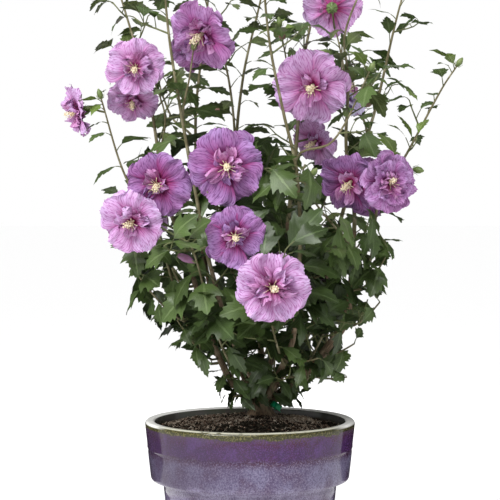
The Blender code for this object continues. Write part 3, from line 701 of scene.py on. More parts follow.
@dataclass(frozen=True)
class LeafFinish:
    """One of the greens that are dealt out to the sprays."""

    name: str
    green: Colour
    vein: Colour
    variety: float = 0.55
    roughness: float = 0.36

    def build(self) -> Material:
        """Shade a plain green softly and sink faint veins in it.

        Returns:
            The material.
        """
        finish = Finish(self.name, self.roughness, Specular_IOR_Level=0.45)
        shade = finish.mottle(24.0, (0.34, 0.66), 1.5)
        colour = finish.mix(shade, self.green, tuple(self.variety * part for part in self.green))
        veins = finish.veins()
        return finish.done(finish.coats(colour, [(veins, 0.62, self.vein)]), veins, -1.6 * MM)


@dataclass(frozen=True)
class PetalFinish:
    """The colours of one petal colouring, from the throat out to the edge."""

    name: str
    throat: Colour
    inner: Colour
    middle: Colour
    edge: Colour
    vein: Colour = (0.29, 0.05, 0.25)
    # pale streaks between the veins: partly the petal's own streaks and partly painted glints
    streak_and_glint: Colour = (0.7, 0.5, 0.72)

    def build(self) -> Material:
        """Colour a petal by its map, whose Y runs from the throat to the edge, and X across.

        Returns:
            The material.
        """
        finish = Finish(self.name, 0.6, Specular_IOR_Level=0.15)
        rays = finish.streaks(finish.mapped, (30.0, 1.6, 1.0))
        reach = finish.both(finish.maths("SUBTRACT", rays, 0.5), 0.45)
        share = finish.maths("ADD", finish.axis(finish.mapped, "Y"), reach)
        fine = finish.streaks(finish.mapped, (46.0, 4.5, 1.0))
        stops = ((0.14, self.throat), (0.32, self.inner), (0.56, self.middle), (0.95, self.edge))
        colour = finish.coats(
            finish.ramp(share, stops),
            (
                (finish.mottle(34.0, detail=2.0), 0.3, self.inner),
                (finish.span(fine, 0.52, 0.6), 0.66, self.vein),
                # pale streaks between the veins: partly the petal's own streaks and partly painted glints
                (finish.span(fine, 0.4, 0.3), 0.22, self.streak_and_glint),
            ),
        )
        return finish.done(colour, rays, 1.2 * MM)


# -------- curves


def perpendicular(direction: Vector) -> Vector:
    """Return a unit vector square to a direction."""
    spare = Vector((1, 0, 0)) if abs(direction.x) < 0.7 else Vector((0, 1, 0))
    return direction.cross(spare).normalized()


def level_heading(turn: float) -> Vector:
    """Return the level unit vector at a turn from +X."""
    return Vector((math.cos(turn), math.sin(turn), 0.0))


def millimetres(point: Place) -> Vector:
    """Return a point given in millimetres as a vector in metres."""
    return Vector(point) * MM


def read_off(table: Sequence[Span], key: float) -> float:
    """Read a value on straight lines off a table.

    Args:
        table: its (key, value) pairs, lowest key first.
        key: where it is read.

    Returns:
        The value there.
    """
    for (low, start), (high, end) in zip(table, table[1:]):
        if key <= high:
            return start + (end - start) * max(key - low, 0.0) / (high - low)
    return table[-1][1]


class Path:
    """A run of points that can be asked for the place and heading at a share of its length."""

    def __init__(self, points: Sequence[Vector]) -> None:
        """Measure the run.

        Args:
            points: its points in order.
        """
        self.points = list(points)
        self.marks = [0.0]
        for start, end in zip(points, points[1:]):
            self.marks.append(self.marks[-1] + (end - start).length)
        self.length = self.marks[-1]

    def at(self, share: float) -> tuple[Vector, Vector]:
        """Find a point of the path.

        Args:
            share: the share of the length before it.

        Returns:
            The point, and the path's unit heading there.
        """
        distance = share * self.length
        index = 0
        while index < len(self.points) - 2 and self.marks[index + 1] < distance:
            index += 1
        start, end = self.points[index], self.points[index + 1]
        part = (distance - self.marks[index]) / (self.marks[index + 1] - self.marks[index])
        return start.lerp(end, part), (end - start).normalized()

    def cut(self, share: float) -> "Path":
        """Return the part of the path before a share of its length."""
        kept = [point for point, mark in zip(self.points, self.marks) if mark < share * self.length]
        return Path([*kept, self.at(share)[0]])

    def samples(self, spacing: float) -> list[Vector]:
        """Return points about a spacing apart along the whole path."""
        count = max(2, math.ceil(self.length / spacing) + 1)
        return [self.at(index / (count - 1))[0] for index in range(count)]


def curved(
    knots: Sequence[Vector], heading: Vector, arrival: Vector | None = None,
    step: float = 0.009, lead: float = 0.006,
) -> Path:
    """Draw a smooth curve through knots.

    Args:
        knots: the points that it passes through.
        heading: the way that it leaves the first knot, straight at first.
        arrival: the way that it reaches the last one, or None to come straight.
        step: about how far apart its points lie.
        lead: how far it runs straight at first.

    Returns:
        The curve, its ends included.
    """
    points = [knots[0], knots[0] + heading * lead]
    knots = [points[1], *knots[1:]]
    slopes = [heading, *((after - before).normalized() for before, after in zip(knots, knots[2:]))]
    slopes.append(arrival if arrival is not None else (knots[-1] - knots[-2]).normalized())
    for start, end, slope_in, slope_out in zip(knots, knots[1:], slopes, slopes[1:]):
        third = (end - start).length / 3
        count = max(2, round(3 * third / step) + 1)
        points += interpolate_bezier(start, start + slope_in * third, end - slope_out * third, end, count)[1:]
    return Path(points)


@dataclass
class Stem:
    """A round tapering stem along a path, with bark relief where it has some."""

    path: Path
    foot_radius: float
    tip_radius: float
    sides: int = 6
    ridge: float = 0.0
    swell: tuple[Span, ...] = ((0.0, 1.0), (1.0, 1.0))
    map_scale: float = 10.0

    def radius_at(self, share: float) -> float:
        """Return the stem's radius at a share of its length."""
        return (self.foot_radius + (self.tip_radius - self.foot_radius) * share) * read_off(self.swell, share)

    def add_to(self, gathering: Gathering, slot: int = 0) -> None:
        """Sweep the stem into a gathering, with its map running along it.

        Args:
            gathering: where it goes.
            slot: which material it wears.
        """
        points = self.path.points
        last = len(points) - 1
        heading = (points[1] - points[0]).normalized()
        side = perpendicular(heading)
        corners, uv = [], []
        for index, point in enumerate(points):
            ahead = (points[min(index + 1, last)] - points[max(index - 1, 0)]).normalized()
            side = heading.rotation_difference(ahead) @ side
            heading = ahead
            mark = self.path.marks[index]
            radius = self.radius_at(mark / self.path.length)
            for corner in range(self.sides + 1):
                out = Quaternion(heading, math.tau * corner / self.sides) @ side
                if corner < self.sides:
                    grain = self._grain(out, mark)
                    first = grain if corner == 0 else first
                else:
                    grain = first
                corners.append(point + out * radius * (1.0 + self.ridge * grain))
                uv.append((mark * self.map_scale, corner / self.sides))
        ring = self.sides + 1
        faces = []
        for low in range(0, last * ring, ring):
            for corner in range(self.sides):
                faces.append((low + corner, low + corner + 1, low + ring + corner + 1, low + ring + corner))
        faces.append(tuple(range(last * ring, last * ring + self.sides)))
        gathering.add(np.array(corners), faces, np.array(uv), slot)

    @staticmethod
    def _grain(out: Vector, mark: float) -> float:
        """Return the relief of bark at one side of a stem: long ridges that wander and break."""
        return noise.fractal(Vector((out.x * 3.2, out.y * 3.2 + out.z * 3.2, mark * 28.0)), 1.0, 2.2, 4)


# -------- how the shrub stands


@dataclass(frozen=True)
class Habit:
    """How leafy a shoot is: lengths in metres, how its leaves droop, and how far they face outward."""

    internode: float
    bare_share: float
    leaf_lengths: Span
    droops: Span
    twig_chance: float
    twig_lengths: Span
    twig_nodes: tuple[float, ...]
    arches: Span = (0.15, 0.4)
    facing: float = 0.8


CANE_HABIT = Habit(0.0195, 0.05, (0.046, 0.066), (-0.2, 0.35), 0.18, (0.028, 0.055), (0.35, 0.7), facing=0.12)
SPRAY_HABIT = Habit(0.0095, 0.1, (0.058, 0.086), (0.2, 1.15), 0.46, (0.035, 0.072), (0.3, 0.52, 0.76))
STRAY_HABIT = Habit(0.011, 0.3, (0.052, 0.078), (0.3, 1.3), 0.3, (0.028, 0.05), (0.35, 0.7))
BASAL_HABIT = Habit(0.0065, 0.15, (0.03, 0.05), (0.4, 2.2), 0.0, (0.02, 0.03), ())


@dataclass(frozen=True)
class Bough:
    """A bough: its way from its foot, in millimetres, and its radii there and at its tip."""

    name: str
    way: tuple[Place, ...]
    foot_radius: float
    tip_radius: float
    springs_from: str = "trunk"


@dataclass(frozen=True)
class Fork:
    """A side shoot of a cane: the share of the cane it leaves at, its way and its radius."""

    share: float
    way: tuple[Place, ...]
    radius: float


@dataclass(frozen=True)
class Cane:
    """A long shoot: the bough and the share of it that it springs from, its way and its radius."""

    bough: str
    share: float
    way: tuple[Place, ...]
    radius: float
    forks: tuple[Fork, ...] = ()


@dataclass(frozen=True)
class Ring:
    """A ring of leafy sprays: the height, reach and turn of their tips round a middle."""

    height: float
    reach: float
    count: int
    turn: float
    middle: Span


@dataclass(frozen=True)
class Stray:
    """A twig that strays out of the crown's side: its bough, the share it leaves at and its tip."""

    bough: str
    share: float
    tip: Place


class PetalHueAndLight(Enum):
    """Which colouring a bloom's petals wear; the value is its material's slot. The colourings are partly the
    blooms' own and partly painted light: PALE, MAUVE and PURPLE are lighter and darker copies of one
    colouring, the pale one also going to several blooms that face down or away, and LAVENDER is a pale blue
    one, lightened for a bloom whose back petals turn up.
    """

    PALE = 0
    MAUVE = 1
    PURPLE = 2
    LAVENDER = 3


class Form(Enum):
    """How double a bloom is: (rings of broad petals, crumpled petals within, petals in the tuft)."""

    OPEN = (1, 3, 7)
    TUFTED = (1, 7, 9)
    ROSE = (2, 9, 8)


@dataclass(frozen=True)
class Bloom:
    """A double bloom: its middle and width in millimetres, the way it faces, and its kind."""

    place: Place
    width: float
    facing: Place
    hue_and_light: PetalHueAndLight = PetalHueAndLight.MAUVE
    form: Form = Form.TUFTED


class BudKind(Enum):
    """What a bud shows; the value is its material's slot."""

    GREEN = 0
    FLUSHED = 1
    SPENT = 2


@dataclass(frozen=True)
class BudSpot:
    """A bud that stands by itself: its foot in millimetres, its kind and its length."""

    place: Place
    kind: BudKind
    length: float = 19.0


FORK = Vector((0.015, 0.02, 0.247))
STUB_LENGTH = 0.032
TIE_PLACE = Vector((0.034, 0.004, 0.2545))

BOUGHS = (
    Bough("bough_right", ((80, 8, 304), (117, 0, 350)), 6.3, 5.2),
    Bough("bough_right_upper", ((134, 2, 410), (139, 4, 488)), 5.2, 3.4, "bough_right"),
    Bough("bough_middle", ((30, 12, 330), (44, 6, 420), (51, 2, 500)), 5.4, 3.2),
    Bough("bough_left", ((-24, 12, 285), (-50, 8, 340), (-84, 2, 455)), 5.2, 3.0),
    Bough("bough_front_left", ((0, -22, 300), (-28, -52, 360), (-50, -70, 440)), 4.6, 2.8),
    Bough("bough_front_right", ((38, -24, 300), (56, -56, 350), (62, -78, 430)), 4.6, 2.8),
    Bough("bough_back_left", ((-14, 58, 300), (-46, 84, 370), (-66, 92, 460)), 4.8, 2.9),
    Bough("bough_back", ((16, 64, 310), (6, 92, 390), (-8, 96, 470)), 4.8, 2.9),
    Bough("bough_back_right", ((50, 58, 300), (88, 84, 360), (112, 88, 450)), 4.8, 2.9),
)

CANES = {
    "cane_far_left": Cane(
        "bough_left", 0.72,
        ((-128, -14, 505), (-164, -22, 560), (-196, -26, 664)), 2.3,
    ),
    "cane_left": Cane(
        "bough_left", TIP,
        ((-112, 14, 530), (-138, 46, 674), (-172, 76, 790), (-196, 92, 862)), 2.9,
        (Fork(0.3, ((-113, 0, 640), (-128, -6, 690)), 1.6),),
    ),
    "cane_front_left": Cane(
        "bough_front_left", TIP,
        ((-68, -78, 530), (-88, -84, 640), (-104, -100, 750), (-110, -122, 862)), 2.8,
        (Fork(0.44, ((-78, -52, 690), (-74, -28, 728)), 1.6),),
    ),
    "cane_back_left": Cane(
        "bough_back_left", TIP,
        ((-74, 98, 550), (-76, 118, 660), (-62, 140, 790), (-56, 156, 874)), 2.8,
        (Fork(0.36, ((-112, 138, 650), (-140, 170, 730)), 1.9),),
    ),
    "cane_back": Cane(
        "bough_back", TIP,
        ((-20, 90, 580), (-10, 100, 700), (12, 122, 800), (28, 134, 872)), 2.8,
        (Fork(0.3, ((-30, 66, 700), (-52, 50, 772), (-72, 36, 842)), 1.9),),
    ),
    "cane_front": Cane(
        "bough_front_right", TIP,
        ((60, -90, 560), (42, -102, 640), (24, -112, 730), (12, -140, 858)), 2.7,
        (Fork(0.34, ((104, -120, 602), (150, -128, 690)), 1.8),),
    ),
    "cane_middle": Cane(
        "bough_middle", TIP,
        ((60, 4, 583), (72, 16, 716), (91, 44, 803), (112, 56, 880)), 3.1,
        (Fork(0.34, ((52, 16, 700), (40, 4, 762)), 1.5),),
    ),
    "cane_right": Cane(
        "bough_right_upper", TIP,
        ((127, -16, 600), (128, -44, 690), (122, -56, 740), (146, -84, 808)), 2.9,
        (Fork(0.52, ((116, -20, 740), (109, -6, 764)), 1.5),),
    ),
    "cane_back_right": Cane(
        "bough_back_right", TIP,
        ((142, 78, 560), (172, 84, 650), (206, 114, 786), (230, 138, 866)), 3.0,
        (Fork(0.4, ((134, 134, 690), (132, 164, 776)), 1.9),),
    ),
    "cane_far_right": Cane(
        "bough_right_upper", 0.62,
        ((172, -8, 530), (206, -26, 590), (252, -30, 676), (272, -30, 706)), 2.5,
    ),
}

RINGS = (
    Ring(0.33, 0.06, 5, 60.0, (0.026, 0.004)),
    Ring(0.395, 0.112, 7, 22.0, (0.016, 0.0)),
    Ring(0.475, 0.138, 6, 50.0, (0.006, 0.0)),
    Ring(0.565, 0.125, 5, 18.0, (0.004, 0.0)),
)

# Each bloom's colouring is partly its own and partly painted light: the pale one also goes to several blooms
# that face down or away.
BLOOMS = (
    Bloom((-66, -34, 743), 96, (-0.5, -0.66, -0.56), PetalHueAndLight.MAUVE),
    Bloom((-150, -34, 702), 76, (-0.05, -0.98, -0.1), PetalHueAndLight.PALE),
    Bloom((-158, 12, 660), 68, (-0.05, -0.66, -0.75), PetalHueAndLight.PALE),
    Bloom((-232, -10, 645), 70, (-0.9, -0.36, -0.26), PetalHueAndLight.PALE),
    Bloom((108, -16, 784), 78, (0.05, 0.93, 0.25), PetalHueAndLight.PALE, Form.OPEN),
    Bloom((80, -56, 674), 96, (-0.2, -0.88, -0.4), PetalHueAndLight.PALE, Form.OPEN),
    # painted light: the lavender colouring is lightened for this bloom's upturned back petals
    Bloom((130, 20, 676), 74, (0.72, -0.42, 0.55), PetalHueAndLight.LAVENDER),
    Bloom((-120, -78, 548), 84, (-0.1, -0.95, -0.2), PetalHueAndLight.PURPLE, Form.OPEN),
    Bloom((-149, -118, 500), 82, (-0.2, -0.93, -0.25), PetalHueAndLight.PALE),
    Bloom((-29, -106, 569), 94, (-0.02, -0.98, -0.12), PetalHueAndLight.PURPLE),
    Bloom((-19, -136, 483), 74, (0.08, -0.98, -0.08), PetalHueAndLight.PURPLE),
    Bloom((27, -156, 419), 90, (0.05, -0.99, -0.1), PetalHueAndLight.PALE),
    Bloom((129, -42, 549), 84, (-0.42, -0.7, -0.58), PetalHueAndLight.PURPLE, Form.OPEN),
    Bloom((180, -74, 551), 76, (0.35, -0.9, -0.05), PetalHueAndLight.MAUVE, Form.ROSE),
    Bloom((85, 16, 606), 68, (-0.55, -0.66, -0.5), PetalHueAndLight.PALE, Form.OPEN),
    Bloom((-33, 156, 572), 88, (-0.15, 0.97, 0.1)),
    Bloom((170, 134, 548), 80, (0.6, 0.78, 0.05), PetalHueAndLight.PURPLE),
    Bloom((88, 138, 686), 84, (0.2, 0.95, 0.2)),
    Bloom((-80, 146, 752), 78, (-0.4, 0.88, 0.2)),
    Bloom((-150, 112, 504), 80, (-0.75, 0.64, 0.05), PetalHueAndLight.PALE),
    Bloom((34, 168, 416), 86, (0.05, 0.99, -0.05), PetalHueAndLight.MAUVE, Form.OPEN),
)

BUDS = (
    BudSpot((-59, -10, 646), BudKind.FLUSHED, 22.0),
    BudSpot((153, -10, 655), BudKind.FLUSHED),
    BudSpot((215, -40, 569), BudKind.GREEN, 17.0),
    BudSpot((192, -44, 585), BudKind.GREEN, 16.0),
    BudSpot((78, -100, 560), BudKind.GREEN, 15.0),
    BudSpot((157, 20, 616), BudKind.GREEN, 16.0),
    BudSpot((-91, -84, 458), BudKind.SPENT, 27.0),
    BudSpot((104, -60, 716), BudKind.GREEN, 20.0),
    BudSpot((42, -40, 742), BudKind.FLUSHED, 18.0),
)

STRAYS = (
    Stray("bough_left", 0.55, (-162, -34, 452)), Stray("bough_left", 0.3, (-96, -30, 372)),
    Stray("bough_right_upper", 0.45, (186, -26, 470)), Stray("bough_right_upper", 0.12, (176, -30, 402)),
    Stray("bough_right", 0.45, (128, -26, 296)), Stray("bough_right", 0.75, (140, -44, 344)),
    Stray("bough_front_right", 0.4, (96, -84, 330)),
)

BASAL_SHOOTS = (
    (-118.0, 0.052, 0.287), (-72.0, 0.046, 0.28), (-30.0, 0.058, 0.276), (-160.0, 0.056, 0.292),
    (20.0, 0.052, 0.284), (75.0, 0.05, 0.29), (130.0, 0.054, 0.286), (-95.0, 0.03, 0.3),
    (-140.0, 0.05, 0.268), (-98.0, 0.05, 0.262), (-62.0, 0.052, 0.264), (-170.0, 0.048, 0.266),
    (-8.0, 0.05, 0.266), (50.0, 0.046, 0.266), (105.0, 0.046, 0.268), (160.0, 0.046, 0.266),
)

CROWN_OUTLINE = (
    (0.241, 0.07), (0.262, 0.078), (0.282, 0.102), (0.3, 0.11), (0.33, 0.136), (0.35, 0.168),
    (0.4, 0.19), (0.45, 0.208), (0.62, 0.235), (0.9, 0.32),
)
CROWN_AXIS = ((0.262, 0.024), (0.285, 0.032), (0.32, 0.022), (0.345, -0.002), (0.45, 0.004))
FRESH_SPOTS = tuple(Vector((x, 0.0, z)) for x, z in ((0.184, 0.666), (0.218, 0.58), (0.044, 0.772)))


# -------- leaves


class LeafCut(Enum):
    """The outline of a leaf a unit long: rows of (along, half its width, slant of the teeth)."""

    LOBED = (
        (0.0, 0.0, 0.0), (0.08, 0.075, 0.0), (0.19, 0.2, 0.02), (0.24, 0.19, 0.0),
        (0.34, 0.31, 0.06), (0.38, 0.29, 0.03), (0.45, 0.37, 0.13), (0.51, 0.235, 0.04),
        (0.58, 0.19, 0.0), (0.66, 0.235, 0.06), (0.72, 0.16, 0.01), (0.79, 0.165, 0.05),
        (0.86, 0.09, 0.01), (0.92, 0.065, 0.03), (1.0, 0.0, 0.0),
    )
    TOOTHED = (
        (0.0, 0.0, 0.0), (0.14, 0.085, 0.0), (0.28, 0.2, 0.04), (0.35, 0.18, 0.0),
        (0.45, 0.28, 0.08), (0.53, 0.18, 0.01), (0.63, 0.185, 0.05), (0.71, 0.11, 0.0),
        (0.81, 0.105, 0.04), (0.9, 0.05, 0.0), (1.0, 0.0, 0.0),
    )
    YOUNG = (
        (0.0, 0.0, 0.0), (0.2, 0.13, 0.0), (0.42, 0.23, 0.05), (0.52, 0.16, 0.0),
        (0.68, 0.15, 0.05), (0.82, 0.08, 0.0), (1.0, 0.0, 0.0),
    )


LEAF_COLUMNS = 4


def model_leaf(cut: LeafCut) -> Pattern:
    """Model a flat leaf from a grid whose rows are drawn in and whose edge is slanted into teeth.

    Args:
        cut: the outline.

    Returns:
        The pattern; its map runs along the leaf in X and across it in Y.
    """
    rows = cut.value
    last = len(rows) - 1
    grid = bpy.ops.mesh.primitive_grid_add
    piece = added("leaf_pattern", grid, x_subdivisions=last, y_subdivisions=LEAF_COLUMNS, size=1.0)
    marks = [(round((corner.co.x + 0.5) * last), corner.co.y) for corner in piece.data.vertices]

    def at_edge(corner: bmesh.types.BMVert) -> bool:
        """Tell whether a corner was at the grid's side."""
        return abs(marks[corner.index][1]) > 0.4

    with editing(piece):
        for row, (along, width, slant) in enumerate(rows):
            pick(piece, lambda corner: marks[corner.index][0] == row)
            bpy.ops.transform.translate(value=(along - row / last + 0.5, 0.0, 0.0))
            stretch = max(width, 0.004) * 2.0
            bpy.ops.transform.resize(value=(1.0, stretch, 1.0), center_override=(along, 0.0, 0.0))
            if slant:
                pick(piece, lambda corner: marks[corner.index][0] == row and at_edge(corner))
                bpy.ops.transform.translate(value=(slant, 0.0, 0.0))
        bpy.ops.mesh.select_all(action="SELECT")
        bpy.ops.mesh.normals_make_consistent(inside=False)
    return Pattern.taken_from(piece)


class Tone(Enum):
    """The green of a leaf; the value is its material's slot. The shade green is painted shade, a darker copy
    of the summer green for the ring sprays and the shoots at the crown's foot.
    """

    SHADE = 0
    SUMMER = 1
    OLIVE = 2
    FRESH = 3


@dataclass(frozen=True)
class LeafSpot:
    """A leaf to make: where it springs from, how it lies, and which cut and green it has."""

    root: Vector
    heading: Vector
    length: float
    arch: float
    tilt: float
    cut: LeafCut
    tone: Tone
    stalk_share: float
    facing: float


@dataclass
class Spray:
    """A cane or a leafy spray: its shoots, its green, and its own map of where they run."""

    habit: Habit
    tone: Tone
    shoots: list[Stem] = field(default_factory=list)
    map: KDTree | None = None


def beside(point: Vector, other: Vector) -> float:
    """Return how far apart two points look from the front."""
    return math.hypot(point.x - other.x, point.z - other.z)


def map_of(points: Sequence[Vector]) -> KDTree:
    """Map out some points.

    Args:
        points: the points.

    Returns:
        A map that finds the nearest of them.
    """
    tree = KDTree(len(points))
    for index, point in enumerate(points):
        tree.insert(point, index)
    tree.balance()
    return tree


@dataclass
class Crown:
    """The growing crown: what grows keeps to its spray's space and off the limbs and blooms."""

    paths: dict[str, Path]
    luck: random.Random
    sprays: list[Spray] = field(default_factory=list)
    leaves: list[LeafSpot] = field(default_factory=list)
    twigs: list[Stem] = field(default_factory=list)
    buds: list[tuple[Vector, Vector, BudKind, float]] = field(default_factory=list)
    spacing: float = 0.004
    leeway: float = 0.024
    leaf_berth: float = 0.012
    leaf_tries: int = 9
    lobed_from: float = 0.058
    tip_leaves: int = 3
    deepest: float = 0.21
    shoot_berth: float = 0.008
    seat_spacing: float = 0.014
    tie_berth: float = 0.012
    tuft_radius: float = 0.024

    # ---- the sprays' stems

    def draw(self) -> None:
        """Draw every shoot, and share out the space among them."""
        self.add_canes()
        self.add_rings()
        self.add_strays()
        self.add_basal_shoots()
        self.share_space()

    def add_canes(self) -> None:
        """Draw the canes with their forks."""
        for number, spec in enumerate(CANES.values()):
            way = [millimetres(point) for point in spec.way]
            spot, heading = self.paths[spec.bough].at(spec.share)
            if spec.share < TIP:
                heading = self._square(heading, way[0] - spot)
            spray = Spray(CANE_HABIT, Tone.OLIVE if number % 3 == 1 else Tone.SUMMER)
            path = curved([spot, *way], heading)
            spray.shoots.append(Stem(path, spec.radius * MM, 1.1 * MM))
            for fork in spec.forks:
                spot, ahead = path.at(fork.share)
                way = [millimetres(point) for point in fork.way]
                lean = (ahead + (way[0] - spot).normalized()).normalized()
                spray.shoots.append(Stem(curved([spot, *way], lean), fork.radius * MM, 0.9 * MM))
            self.sprays.append(spray)

    def add_rings(self) -> None:
        """Draw the rings of sprays, each from the seat nearest its anchor that it can leave freely."""
        seats = {name: path.samples(self.seat_spacing)[1:-1] for name, path in self.paths.items()}
        spots = [(name, point) for name, points in seats.items() for point in points]
        for ring in RINGS:
            middle = Vector((*ring.middle, 0.0))
            for number in range(ring.count):
                turn = math.radians(ring.turn) + math.tau * number / ring.count
                outward = level_heading(turn + self.luck.uniform(-0.12, 0.12))
                height = ring.height + self.luck.uniform(-0.012, 0.012)
                tip = middle + outward * ring.reach * self.luck.uniform(0.92, 1.08) + UP * height
                anchor = middle + outward * ring.reach * 0.45 + UP * (height - 0.075)
                arrival = (outward + UP * 0.9).normalized()
                for name, spot in sorted(spots, key=lambda item: (item[1] - anchor).length):
                    path = self._ring_path(name, spot, tip, outward, arrival)
                    if path is not None:
                        # painted shade: two of three ring sprays take the darker shade green
                        tone = Tone.SHADE if (number + ring.count) % 3 else Tone.SUMMER
                        stem = Stem(path, 2.0 * MM, 1.1 * MM)
                        self.sprays.append(Spray(SPRAY_HABIT, tone, [stem]))
                        break

    def add_strays(self) -> None:
        """Draw the twigs that stray out of the crown's sides."""
        for spec in STRAYS:
            spot, ahead = self.paths[spec.bough].at(spec.share)
            tip = millimetres(spec.tip)
            stem = Stem(curved([spot, tip], self._square(ahead, tip - spot), tip - spot), 1.6 * MM, 1.0 * MM)
            self.sprays.append(Spray(STRAY_HABIT, Tone.SUMMER, [stem]))

    def add_basal_shoots(self) -> None:
        """Draw the short leafy shoots that hide the stump, from its crown out over the soil."""
        for turn, reach, height in BASAL_SHOOTS:
            outward = level_heading(math.radians(turn))
            start = FORK + outward * 0.008 + UP * 0.008
            tip = Vector((FORK.x, FORK.y, height)) + outward * reach
            path = curved([start, tip], (outward + UP * 1.2).normalized(), outward, lead=0.003)
            stem = Stem(path, 1.6 * MM, 1.0 * MM)
            # painted shade: the shoots at the crown's foot take the darker shade green
            self.sprays.append(Spray(BASAL_HABIT, Tone.SHADE, [stem]))

    def _ring_path(
        self, bough: str, spot: Vector, tip: Vector, outward: Vector, arrival: Vector
    ) -> Path | None:
        """Try one seat for a spray.

        Args:
            bough: the bough's name.
            spot: where on its axis the spray would start.
            tip: where it ends.
            outward: the way out from the crown's middle.
            arrival: the way that it ends.

        Returns:
            The spray's path, or None where another one is in its way.
        """
        _, ahead = self.paths[bough].at(0.5)
        path = curved([spot, tip], self._square(ahead, outward), arrival)
        others = [shoot.path for spray in self.sprays for shoot in spray.shoots]
        others += [self.paths[name] for name in self.paths if name != bough]
        if any((other.points[0] - spot).length < self.seat_spacing for other in others):
            return None
        for other in others:
            tree = map_of(other.samples(0.006))
            if any(tree.find(point)[2] < self.shoot_berth for point in path.samples(0.006)[2:]):
                return None
        return path

    @staticmethod
    def _square(along: Vector, wanted: Vector) -> Vector:
        """Return the heading square to a limb that comes nearest to the one wanted."""
        return (wanted - along * wanted.dot(along)).normalized()

    # ---- the space rule

    def share_space(self) -> None:
        """Map out where each spray, all of them and the limbs run."""
        everywhere: list[Vector] = []
        for spray in self.sprays:
            spots = [point for shoot in spray.shoots for point in shoot.path.samples(self.spacing)]
            spray.map = map_of(spots)
            everywhere += spots
        self.map = map_of(everywhere)
        self.limb_map = map_of([point for path in self.paths.values() for point in path.samples(0.005)])
        self.cells: dict[tuple[int, int, int], list[Vector]] = {}

    def nearest_spot(self, point: Vector) -> Vector:
        """Return the spot on a shoot that is nearest to a point."""
        return self.map.find(point)[0]

    def has_room(self, spray: Spray, points: Sequence[Vector]) -> bool:
        """Tell whether all of some points are in the crown and the spray's space, clear of the rest.

        Args:
            spray: the spray that grows there.
            points: the points to test.

        Returns:
            True where all of them may be taken.
        """
        for point in points:
            across = point.x - read_off(CROWN_AXIS, point.z)
            if point.z < CROWN_OUTLINE[0][0] or point.y > self.deepest:
                return False
            if math.hypot(across, point.y) > read_off(CROWN_OUTLINE, point.z):
                return False
            if spray.map.find(point)[2] > self.map.find(point)[2] + self.leeway:
                return False
            if self.limb_map.find(point)[2] < self.shoot_berth:
                return False
            if point.y < TIE_PLACE.y and beside(point, TIE_PLACE) < self.tie_berth:
                return False
        return not self._hides_bloom(points)

    @staticmethod
    def _hides_bloom(points: Sequence[Vector]) -> bool:
        """Tell whether a shoot or leaf would stand before a bloom.

        Args:
            points: some points of it.

        Returns:
            True where one lies in a bloom's petals, before its face, or in front of one that shows.
        """
        for spec in BLOOMS:
            reach = spec.width / 2 * MM
            facing = Vector(spec.facing).normalized()
            middle = millimetres(spec.place)
            shows = abs(facing.y) > 0.6 and middle.y < 0.02
            for point in points:
                ahead = (point - middle).dot(facing)
                aside = (point - middle - facing * ahead).length
                if -0.12 * reach < ahead < 1.6 * reach and aside < 0.97 * reach:
                    return True
                if shows and point.y < middle.y and beside(point, middle) < 0.92 * reach:
                    return True
        return False

    def _crowds(self, point: Vector) -> bool:
        """Tell whether another leaf is too near, and note this one if not.

        Args:
            point: the leaf's middle.

        Returns:
            True where there is one.
        """
        key = tuple(int(value // self.leaf_berth) for value in point)
        for step in np.ndindex(3, 3, 3):
            near = (key[0] + step[0] - 1, key[1] + step[1] - 1, key[2] + step[2] - 1)
            if any((point - other).length < self.leaf_berth for other in self.cells.get(near, ())):
                return True
        self.cells.setdefault(key, []).append(point)
        return False

    # ---- growing

    def grow(self) -> None:
        """Grow the twigs, leaves and buds along every shoot."""
        for spray in self.sprays:
            for shoot in spray.shoots:
                self._grow_along(spray, shoot)
                if spray.habit is CANE_HABIT:
                    end, heading = shoot.path.at(TIP)
                    self.buds.append((end - heading * 2 * MM, heading, BudKind.GREEN, 14.0 * MM))
                    for number in range(self.tip_leaves):
                        root = end - heading * (3 + 4 * number) * MM
                        self._try_leaf(spray, root, heading, GOLDEN_ANGLE * number, True)
        for spec in BUDS:
            self._stand_bud(spec)

    def _grow_along(self, spray: Spray, shoot: Stem) -> None:
        """Grow a twig or a leaf at each node of a shoot, and cut a spray's shoot after its last leaf.

        Args:
            spray: the cane or spray.
            shoot: the one of its shoots.
        """
        path = shoot.path
        place = max(spray.habit.bare_share * path.length, 0.012)
        leafy = 0.5 * path.length
        turn = self.luck.uniform(0.0, math.tau)
        while place < path.length:
            root, ahead = path.at(place / path.length)
            young = spray.habit is CANE_HABIT and place > 0.9 * path.length
            branches = self.luck.random() < spray.habit.twig_chance and not young
            branched = branches and self._grow_twig(spray, root, ahead, turn)
            if branched or self._try_leaf(spray, root, ahead, turn, young):
                leafy = max(leafy, place)
            turn += GOLDEN_ANGLE
            place += spray.habit.internode * self.luck.uniform(0.8, 1.2)
        if spray.habit is not CANE_HABIT:
            shoot.path = path.cut(leafy / path.length)

